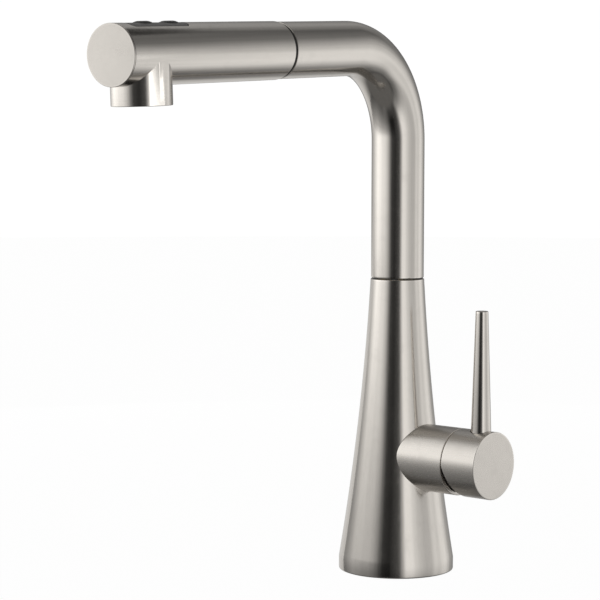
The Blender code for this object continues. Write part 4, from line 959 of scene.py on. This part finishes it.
def make_spout():
    """The bent tube, the sleeve in its mouth that holds the head, and the black seam ring."""
    inner_r = TUBE_R - TUBE_WALL
    mesh = sweep_mesh("spout", spout_line(8), (TUBE_R, inner_r), ROUND, TUBE_EDGE)
    add_piece("spout", mesh, ON_SPOUT, "spout", ["spout_tube"], "satin_nickel")
    end = SEAM_T - GAP
    sleeve = lathe_mesh("dock_sleeve", [
        (inner_r - GAP, end, 0.2), (inner_r - GAP, end - DOCK_LENGTH, 0.2),
        (DOCK_BORE_R, end - DOCK_LENGTH, 0.3), (DOCK_BORE_R, end, 0.6)])
    add_piece("dock_sleeve", sleeve, DOWN_ARM, "spout", ["dock_collar"], "dark_plastic")
    ring = lathe_mesh("seam_ring", [
        (SEAM_RING_R, SEAM_T + SEAM_WIDTH, 0.35), (SEAM_RING_R, SEAM_T, 0.35),
        (DOCK_BORE_R, SEAM_T, 0.2), (DOCK_BORE_R, SEAM_T + SEAM_WIDTH, 0.2)])
    add_piece("seam_ring", ring, DOWN_ARM, "spout", ["seam_gasket"], "black_rubber")


# ---- head -----------------------------------------------------------------------------------
ON_HEAD = across_arm(HEAD_START_T)


def standing(t):
    """Local Z stands up from the head's axis at a distance along the arm."""
    return ON_HEAD @ shift(0, HEAD_START_T - t, 0)


def along_head(radius, low, high):
    """A cylinder round the head's axis, to cut with."""
    return cylinder_tool(radius, low - HEAD_START_T, high - HEAD_START_T, ON_HEAD @ spin(90, "X"))


def plate_tool(margin):
    """A prism over the button plate's outline, wider all round by a margin."""
    outline = rounded_rectangle(PLATE_LENGTH + 2 * margin, PLATE_WIDTH + 2 * margin,
                                PLATE_CORNER_R + margin)
    return prism_tool(outline, 0, HEAD_R + 2, standing(PLATE_T))


def button_windows():
    """Steps that cut the two openings for the buttons."""
    outline = oval(BUTTON_LENGTH + 2 * GAP, BUTTON_WIDTH + 2 * GAP)
    return [("DIFFERENCE", prism_tool(outline, 0, HEAD_R + 2, standing(t)))
            for t in (STREAM_T, SPRAY_T)]


def make_shell():
    """Barrel and outlet in one, hollow, with a pocket on top for the button plate."""
    length = HEAD_END_T - END_CAP_RIM - GAP - HEAD_START_T
    barrel = lathe_mesh("head", [
        (0, length, 0), (HEAD_R * 0.5, length, 0), (HEAD_R, length, 0.12),
        (HEAD_R, 0, 0.3), (HEAD_R * 0.5, 0, 0), (0, 0, 0)], closed=False, sides=FINE)
    barrel.transform(spin(90, "X"))
    drop = link("tool", lathe_mesh("tool", [
        (0, 0, 0), (NOZZLE_R, 0, 0), (NOZZLE_R, -NOZZLE_DROP, 0.55),
        (0, -NOZZLE_DROP, 0)], closed=False, sides=FINE))
    drop.matrix_world = standing(NOZZLE_T)
    pocket = plate_tool(PLATE_GROOVE)
    core = along_head(PLATE_POCKET_R, HEAD_START_T + 20, HEAD_END_T)
    pocket.data = carve(pocket.data, pocket.matrix_world.copy(), [("DIFFERENCE", core)])
    bore = cylinder_tool(NOZZLE_IN_R, -NOZZLE_DROP - 2, 0, standing(NOZZLE_T))
    hollow = along_head(HEAD_IN_R, HEAD_START_T - 2, HEAD_END_T + 2)
    steps = [("UNION", drop), ("DIFFERENCE", hollow), ("DIFFERENCE", bore), ("DIFFERENCE", pocket)]
    carved = carve(barrel, ON_HEAD, steps + button_windows())
    y = HEAD_START_T - NOZZLE_T
    true_normals(carved, [((0, 0, 0), (0, 1, 0), HEAD_R), ((0, y, 0), (0, 0, 1), NOZZLE_R),
                          ((0, 0, 0), (0, 1, 0), HEAD_IN_R), ((0, y, 0), (0, 0, 1), NOZZLE_IN_R),
                          ((0, 0, 0), (0, 1, 0), PLATE_POCKET_R)])
    mark_edges(carved)
    grain = []
    for vert in carved.vertices:
        x, y_co, z = vert.co
        on_outlet = z < -HEAD_R * MM * 1.02
        grain.extend((x, y_co, z) if on_outlet else (x, z, y_co))
    fill_grain(carved, grain)
    add_piece("spray_head", carved, ON_HEAD, "head", ["head_shell"], "satin_nickel")


def make_head_end():
    """The slightly crowned end, with a grooved skirt that plugs into the head."""
    rim = HEAD_END_T - END_CAP_RIM
    plug_r = HEAD_IN_R - GAP
    near, far, depth = END_GROOVE
    crown = [(HEAD_R * k / 8, HEAD_END_T - END_CROWN * (k / 8) ** 2, 0) for k in range(1, 8)]
    cap = lathe_mesh("head_end", [
        (0, HEAD_END_T, 0), *crown, (HEAD_R, HEAD_END_T - END_CROWN, 0.3), (HEAD_R, rim, 0.1),
        (plug_r, rim, 0), (plug_r, rim - near, 0), (plug_r - depth, rim - near, 0),
        (plug_r - depth, rim - far, 0), (plug_r, rim - far, 0), (plug_r, rim - END_SKIRT, 0.3),
        (plug_r - END_WALL, rim - END_SKIRT, 0), (plug_r - END_WALL, HEAD_END_T - END_WALL, 0),
        (0, HEAD_END_T - END_WALL, 0)], closed=False, sides=FINE)
    # painted shade: the end is coloured darker than the other nickel; its finer, even brushing is
    # its own
    add_piece("head_end", cap, DOWN_ARM, "head", ["end_cap"], "satin_nickel", "shaded_faced_nickel")


def make_panel():
    """The dark plate that the buttons stand in, curved with the head."""
    plate = plate_tool(0)
    at = plate.matrix_world.copy()
    skin_out = along_head(PLATE_OUT_R, HEAD_START_T, HEAD_END_T)
    skin_in = along_head(PLATE_IN_R, HEAD_START_T - 4, HEAD_END_T + 4)
    steps = [("INTERSECT", skin_out), ("DIFFERENCE", skin_in)] + button_windows()
    block = plate.data
    bpy.data.objects.remove(plate)
    panel = carve(block, at, steps)
    middle = at.inverted() @ ON_HEAD @ Vector((0, 0, 0)) / MM
    true_normals(panel, [(middle, (0, 1, 0), PLATE_OUT_R), (middle, (0, 1, 0), PLATE_IN_R)])
    mark_edges(panel)
    add_piece("button_panel", panel, at, "head", ["button_plate"], "dark_plastic", "button_panel")


def make_head():
    """The spray head with its end, plate, buttons and outlet."""
    make_shell()
    make_head_end()
    make_panel()
    make_button("stream", STREAM_T)
    make_button("spray", SPRAY_T)
    make_outlet()


def make_button(label, t):
    """A domed oval button with a soft shoulder and a dished finger spot, on its plunger."""
    side_top = BUTTON_TOP - BUTTON_DOME
    rings = [(1.0, BUTTON_FOOT, 0.0), (1.0, side_top - 0.5, 0.0), (1.0, side_top - 0.2, 1.0)]
    for i in range(1, 7):
        angle = math.radians(90 * i / 6)
        rings.append((1 - 0.16 * (1 - math.cos(angle)), side_top - 0.2 + 0.75 * math.sin(angle),
                      1.0 - i / 6))
    rings += [(share, BUTTON_TOP - depth, worn) for share, depth, worn in BUTTON_DISH]
    work = bmesh.new()
    loops, wear = [], []
    for share, height, worn in rings:
        outline = oval(BUTTON_LENGTH * share, BUTTON_WIDTH * share)
        loops.append([work.verts.new((x * MM, y * MM, height * MM)) for x, y in outline])
        wear += [worn] * len(outline)
    join_rings(work, loops, False)
    work.faces.new(loops[-1])
    stem = []
    for radius, height in ((PLUNGER_R, BUTTON_FOOT), (PLUNGER_R, PLUNGER_TIP)):
        outline = oval(2 * radius, 2 * radius)
        stem.append([work.verts.new((x * MM, y * MM, height * MM)) for x, y in outline])
        wear += [0.0] * len(outline)
    join_rings(work, [loops[0], stem[0], stem[1]], False)
    work.faces.new(stem[1])
    mesh = finish_mesh(work, label + "_button", 45.0)
    fill_attribute(mesh, "wear", wear)
    add_piece(label + "_key", mesh, across_arm(t), label + "_push", [label + "_button"],
              "dark_plastic", "button_plastic")


def make_outlet():
    """Aerator ring and the soft spray face with its nubs round the stream outlet."""
    place = across_arm(NOZZLE_T)
    low = -NOZZLE_DROP + GAP
    ring = lathe_mesh("outlet_ring", [
        (AERATOR_R, low + AERATOR_HEIGHT, 0), (AERATOR_R, low, 0.35), (AERATOR_IN_R, low, 0.35),
        (AERATOR_IN_R, low + AERATOR_HEIGHT, 0)])
    add_piece("outlet_ring", ring, place, "head", ["aerator_ring"], "dark_plastic")

    face_low = low + FACE_RECESS
    radius = AERATOR_IN_R - GAP
    profile = [(0, face_low + FACE_THICK, 0), (radius, face_low + FACE_THICK, 0),
               (radius, face_low + FACE_SINK, 0.2),
               *((r, face_low + z, corner) for r, z, corner in STREAM_LIP),
               (0, face_low + STREAM_DEPTH, 0)]
    work = bmesh.new()
    work.from_mesh(lathe_mesh("spray_pad", profile, closed=False))
    for count, distance, turn in NUB_ROWS:
        for i in range(count):
            angle = math.tau * (i + turn) / count
            add_nub(work, distance * math.cos(angle), distance * math.sin(angle), face_low)
    mesh = mesh_from(work, "spray_pad")
    smooth(mesh, 40)
    worn = [1.0 if v.co.z < (face_low + 0.08) * MM else 0.0 for v in mesh.vertices]
    fill_attribute(mesh, "wear", worn)
    add_piece("spray_pad", mesh, place, "head", ["spray_face"], "black_rubber")
    screen = stream_screen(face_low + SCREEN_SINK)
    add_piece("stream_screen", screen, place, "head", [], "stainless_steel")


def add_nub(work, x, y, face_low):
    """A small tapered rubber nub with a spray hole."""
    rings = []
    for radius, height in NUB_PROFILE:
        rings.append([work.verts.new(((x + a) * MM, (y + b) * MM, (face_low + height) * MM))
                      for a, b in oval(2 * radius, 2 * radius, 12)])
    for upper, lower in zip(rings, rings[1:]):
        for i in range(12):
            j = (i + 1) % 12
            work.faces.new((upper[i], lower[i], lower[j], upper[j]))
    work.faces.new(rings[-1])


def stream_screen(low):
    """Woven wire screen in the middle of the spray face."""
    work = bmesh.new()
    pitch = 2 * SCREEN_R / WIRES
    steps = 2 * WIRES
    for turn in (0, 1):
        for i in range(WIRES):
            offset = -SCREEN_R + 2 * SCREEN_R * (i + 0.5) / WIRES
            half = math.sqrt(SCREEN_R ** 2 - offset ** 2)
            side = 1 if (i + turn) % 2 else -1
            rings = []
            for k in range(steps + 1):
                run = -half + 2 * half * k / steps
                wave = WIRE_R * math.cos(math.pi * (run + SCREEN_R) / pitch) * side
                ring = []
                for across, rise in oval(2 * WIRE_R, 2 * WIRE_R, 6):
                    x, y = (run, offset + across) if turn else (offset + across, run)
                    ring.append(work.verts.new((x * MM, y * MM, (low + rise + wave) * MM)))
                rings.append(ring)
            join_rings(work, rings, False)
            work.faces.new(rings[0])
            work.faces.new(rings[-1])
    return finish_mesh(work, "stream_screen", 60.0)


# ---- hose -----------------------------------------------------------------------------------
def make_hose():
    """The hose behind the head, which lengthens out of the arm, and the fittings on its end."""
    start = BEND_REACH + HOSE_LEAD + GAP
    end = FERRULE_T - GAP
    sides = 48
    rings = 160
    work = bmesh.new()
    loops, around, along = [], [], []
    for k in range(rings + 1):
        t = start + (end - start) * k / rings
        loops.append([work.verts.new(point) for point in circle(HOSE_R, t, sides)])
        around += [YARNS * 2 * min(i, sides - i) / sides for i in range(sides)]
        along += [(t - start) / (end - start) * PULL_LENGTH / YARN_PITCH] * sides
    join_rings(work, loops, False)
    work.faces.new(loops[0])
    work.faces.new(loops[-1])
    mesh = finish_mesh(work, "pull_hose")
    fill_attribute(mesh, "around", around)
    fill_attribute(mesh, "along", along)
    piece = add_piece("pull_hose", mesh, DOWN_ARM, None, ["hose_front"], "hose_braid")
    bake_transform(piece)

    ferrule = [(0, FERRULE_T, 0), (FERRULE_R, FERRULE_T, 0.5)]
    for i in range(CRIMP_RINGS):
        low = FERRULE_T + CRIMP_START + CRIMP_PITCH * i
        ferrule += [(FERRULE_R, low, 0), (FERRULE_R - CRIMP_DEPTH, low + 0.3, 0),
                    (FERRULE_R - CRIMP_DEPTH, low + 1.1, 0), (FERRULE_R, low + 1.4, 0)]
    ferrule += [(FERRULE_R, FERRULE_T + FERRULE_LENGTH, 0.3), (0, FERRULE_T + FERRULE_LENGTH, 0)]
    crimp = lathe_mesh("hose_crimp", ferrule, closed=False, sides=64)
    add_piece("hose_crimp", crimp, DOWN_ARM, "head", ["hose_ferrule"], "stainless_steel")
    base = HEAD_START_T - SPIGOT_LENGTH
    flange = HEAD_START_T + SPIGOT_FLANGE
    spigot = lathe_mesh("dock_spigot", [
        (HEAD_IN_R - GAP, flange, 0.2), (HEAD_IN_R - GAP, HEAD_START_T + GAP, 0.15),
        (SPIGOT_R, HEAD_START_T + GAP, 0.3), (SPIGOT_R, base + SPIGOT_TAPER_LENGTH, 1.0),
        (SPIGOT_R - SPIGOT_TAPER, base, 0.5), (SPIGOT_BORE_R, base, 0.3),
        (SPIGOT_BORE_R, flange, 0)])
    add_piece("head_spigot", spigot, DOWN_ARM, "head", ["dock_spigot"], "dark_plastic")


# ---- CAD pieces that keep their shape -------------------------------------------------------
def finish_inner_nodes():
    """The works inside keep their CAD solids and get the finish of their material slot."""
    for name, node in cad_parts.items():
        slot = node.data.materials[0].name
        finish = "dark_brass" if name == "cartridge_nut" else INNER.get(slot, slot)
        node.data.materials.clear()
        node.data.materials.append(FINISHES[finish])


# ---- camera, light and floor ----------------------------------------------------------------
# all in metres and degrees of azimuth
CAMERA_PLACE = (0.894086, -1.089794, 0.292535)
CAMERA_TURN = 0.7316862           # radians
CAMERA_DIP = 0.0832336
CAMERA_ROLL = 0.0016533
CAMERA_LENS = 131.153
LIGHT_R = 0.85
LIGHT_LOW = -0.9
LIGHT_HIGH = 1.3
LIGHT_SEAM = -62                  # where the two bent lights meet, in front
LIGHT_TINT = (1.0, 0.99, 0.975, 1.0)
AIR_TINT = (1.0, 0.98, 0.95, 1.0)
OUTLET_LIGHT_PLACE = Vector((0.502, -0.106, 0.255))
OUTLET_LIGHT_AIM = Vector((0.024, -0.252, 0.3))
OUTLET_LIGHT_SIZE = (0.62, 0.1)
OUTLET_LIGHT_POWER = 0.2
FLOOR_R = 4.0                     # flat so far out, then it rolls up
WALL_ROUND = 4.0
WALL_TOP = 9.0

# (azimuth, strength) stops round the object and (height, share) stops up it
KEY_AROUND = [
    (-180, 0.65), (-170, 0.82), (-160, 1.08), (-147, 1.36), (-132, 1.24), (-119, 1.05),
    (-108, 0.97), (-98, 0.74), (-91, 0.5), (-84, 0.2), (-77, 0.05), (LIGHT_SEAM, 0.03)]
KEY_UPWARD = [
    (LIGHT_LOW, 0.1), (-0.57, 0.13), (-0.38, 0.17), (-0.2, 0.24), (-0.015, 0.38), (0.1, 0.6),
    (0.17, 0.92), (0.22, 1.02), (0.32, 1.02), (0.45, 0.96), (0.63, 0.88), (0.87, 0.74),
    (1.02, 0.66), (LIGHT_HIGH, 0.5)]
SIDE_AROUND = [
    (LIGHT_SEAM, 0.03), (-49, 0.06), (-43, 0.1), (-37, 0.45), (-30, 1.0), (-19, 0.97),
    (-9.6, 0.78), (1.6, 0.63), (12, 0.55), (23, 0.56), (36, 0.8), (47, 0.74), (57, 0.9),
    (66, 0.92), (76, 0.72), (88, 0.42), (110, 0.22), (130, 0.2), (150, 0.3), (170, 0.5),
    (180, 0.65)]
SIDE_UPWARD = [
    (LIGHT_LOW, 0.1), (-0.5, 0.3), (-0.35, 0.5), (-0.26, 0.7), (-0.17, 0.85), (-0.05, 1.0),
    (0.24, 1.0), (0.44, 0.72), (0.55, 0.55), (0.65, 0.4), (0.75, 0.27), (0.85, 0.17),
    (1.1, 0.12), (LIGHT_HIGH, 0.15)]
HIGH_AROUND = [
    (LIGHT_SEAM, 0.0), (-40, 0.03), (60, 0.03), (86, 0.06), (102, 0.2), (116, 0.32),
    (150, 0.3), (180, 0.3)]
HIGH_UPWARD = [(LIGHT_LOW, 0.0), (0.45, 0.0), (0.7, 0.5), (0.9, 0.9), (LIGHT_HIGH, 1.0)]
LOW_AROUND = [
    (LIGHT_SEAM, 0.0), (90, 0.0), (106, 0.08), (117, 0.14), (128, 0.4), (150, 0.4), (180, 0.1)]
LOW_UPWARD = [(LIGHT_LOW, 0.3), (-0.3, 1.0), (0.08, 1.0), (0.22, 0.0), (LIGHT_HIGH, 0.0)]
FRONT_LEFT_AROUND = [(-180, 0.0), (-115, 0.0), (-100, 0.35), (LIGHT_SEAM, 0.42)]
FRONT_RIGHT_AROUND = [(LIGHT_SEAM, 0.42), (-45, 0.35), (-30, 0.0), (180, 0.0)]
FRONT_UPWARD = [
    (LIGHT_LOW, 0.25), (-0.5, 0.1), (-0.2, 0.0), (0.75, 0.0), (1.0, 0.8), (LIGHT_HIGH, 1.0)]


def make_camera():
    """A long lens a little above the valve, looking slightly down."""
    camera = link("camera", bpy.data.cameras.new("camera"))
    camera.data.lens = CAMERA_LENS
    camera.data.sensor_width = 36.0
    camera.data.clip_end = 50.0
    turn = (Matrix.Rotation(CAMERA_TURN, 4, "Z")
            @ Matrix.Rotation(math.pi / 2 - CAMERA_DIP, 4, "X"))
    camera.matrix_world = (Matrix.Translation(CAMERA_PLACE) @ turn
                           @ Matrix.Rotation(CAMERA_ROLL, 4, "Z"))
    bpy.context.scene.camera = camera


def hide_from(thing, camera=False, glossy=False, diffuse=False):
    """Stage a thing that casts no shadow and isn't seen by some kinds of ray."""
    thing.visible_camera = not camera
    thing.visible_glossy = not glossy
    thing.visible_diffuse = not diffuse
    thing.visible_transmission = not glossy
    thing.visible_shadow = False


def light_arc(name, first, last, layers):
    """A bent soft box round the object from one azimuth to another, unseen by the camera.

    Each layer adds its stops round the object times its stops up it to the strength.
    """
    steps = 60
    work = bmesh.new()
    rings = []
    for i in range(steps + 1):
        azimuth = math.radians(first + (last - first) * i / steps)
        rings.append([work.verts.new((LIGHT_R * math.cos(azimuth), LIGHT_R * math.sin(azimuth), z))
                      for z in (LIGHT_LOW, LIGHT_HIGH)])
    for near, far in zip(rings, rings[1:]):
        work.faces.new((near[0], far[0], far[1], near[1]))
    mesh = mesh_from(work, name)
    fill_attribute(mesh, "share", [k / steps for k in range(steps + 1) for side in range(2)])
    fill_attribute(mesh, "height", [side for k in range(steps + 1) for side in (0.0, 1.0)])
    panel = link(name, mesh)
    material = bpy.data.materials.new(name)
    material.use_nodes = True
    graph = Graph(material.node_tree)
    nodes = material.node_tree.nodes
    nodes.remove(nodes["Principled BSDF"])
    share = graph.attribute("share", 2)
    height = graph.attribute("height", 2)
    tall = LIGHT_HIGH - LIGHT_LOW
    strength = 0.0
    for around, upward in layers:
        sideways = graph.curve(share, [((a - first) / (last - first), v) for a, v in around])
        upright = graph.curve(height, [((z - LIGHT_LOW) / tall, v) for z, v in upward])
        strength = sideways * upright + strength
    glow = graph.node("ShaderNodeEmission", sockets={"Color": LIGHT_TINT, "Strength": strength})
    material.node_tree.links.new(glow.socket, nodes["Material Output"].inputs["Surface"])
    mesh.materials.append(material)
    hide_from(panel, camera=True)


def make_light():
    """Two bent lights that meet in a dark line in front, a lamp for the outlet, and dim air."""
    light_arc("key_light", -180, LIGHT_SEAM, [
        (KEY_AROUND, KEY_UPWARD), (FRONT_LEFT_AROUND, FRONT_UPWARD)])
    light_arc("side_light", LIGHT_SEAM, 180, [
        (SIDE_AROUND, SIDE_UPWARD), (HIGH_AROUND, HIGH_UPWARD), (LOW_AROUND, LOW_UPWARD),
        (FRONT_RIGHT_AROUND, FRONT_UPWARD)])

    outlet_light = link("outlet_light", bpy.data.lights.new("outlet_light", "AREA"))
    outlet_light.data.shape = "RECTANGLE"
    outlet_light.data.size, outlet_light.data.size_y = OUTLET_LIGHT_SIZE
    outlet_light.data.energy = OUTLET_LIGHT_POWER
    aim = (OUTLET_LIGHT_AIM - OUTLET_LIGHT_PLACE).to_track_quat("-Z", "Y")
    outlet_light.matrix_world = (Matrix.Translation(OUTLET_LIGHT_PLACE)
                                 @ aim.to_matrix().to_4x4())
    lit = bpy.data.collections.new("lit_by_outlet_light")
    lit.objects.link(bpy.data.objects["spray_head"])
    outlet_light.light_linking.receiver_collection = lit

    world = bpy.data.worlds.new("studio_air")
    bpy.context.scene.world = world
    world.use_nodes = True
    graph = Graph(world.node_tree)
    nodes = world.node_tree.nodes
    up = graph.node("ShaderNodeSeparateXYZ", sockets={
        "Vector": graph.node("ShaderNodeTexCoord", output=0)}, output=2)
    glow = 0.03 + 0.4 * up.ramp(0.74, 0.9) + 0.1 * (-1 * up).ramp(0.72, 0.84)
    nodes["Background"].inputs["Color"].default_value = AIR_TINT
    world.node_tree.links.new(glow.socket, nodes["Background"].inputs["Strength"])


def make_floor():
    """A pale floor that rolls up into a pale wall."""
    profile = [(FLOOR_R, 0.0)]
    for degrees in range(10, 91, 10):
        angle = math.radians(degrees)
        profile.append((FLOOR_R + WALL_ROUND * math.sin(angle), WALL_ROUND * (1 - math.cos(angle))))
    profile.append((FLOOR_R + WALL_ROUND, WALL_TOP))
    work = bmesh.new()
    rings = [[work.verts.new(point) for point in circle(r / MM, z / MM, ROUND)]
             for r, z in profile]
    work.faces.new(rings[0])
    join_rings(work, rings, False)
    mesh = mesh_from(work, "floor")
    mesh.shade_smooth()
    floor = link("floor", mesh)
    material = bpy.data.materials.new("pale_floor")
    material.use_nodes = True
    graph = Graph(material.node_tree)
    nodes = material.node_tree.nodes
    shader = nodes["Principled BSDF"]
    grain = graph.noise(graph.node("ShaderNodeTexCoord", output=3), 6.0, 3.0)
    paint = graph.blend(grain, grey(0.22), grey(0.26))
    material.node_tree.links.new(paint.socket, shader.inputs["Base Color"])
    shader.inputs["Roughness"].default_value = 0.9
    shader.inputs["Specular IOR Level"].default_value = 0.0
    shader.inputs["Emission Color"].default_value = (1.0, 1.0, 1.0, 1.0)
    shader.inputs["Emission Strength"].default_value = 0.985
    mesh.materials.append(material)
    hide_from(floor, glossy=True, diffuse=True)


make_body()
make_valve()
make_spout()
make_head()
make_hose()
finish_inner_nodes()
make_camera()
make_light()
make_floor()
bpy.context.scene.view_settings.view_transform = "Standard"
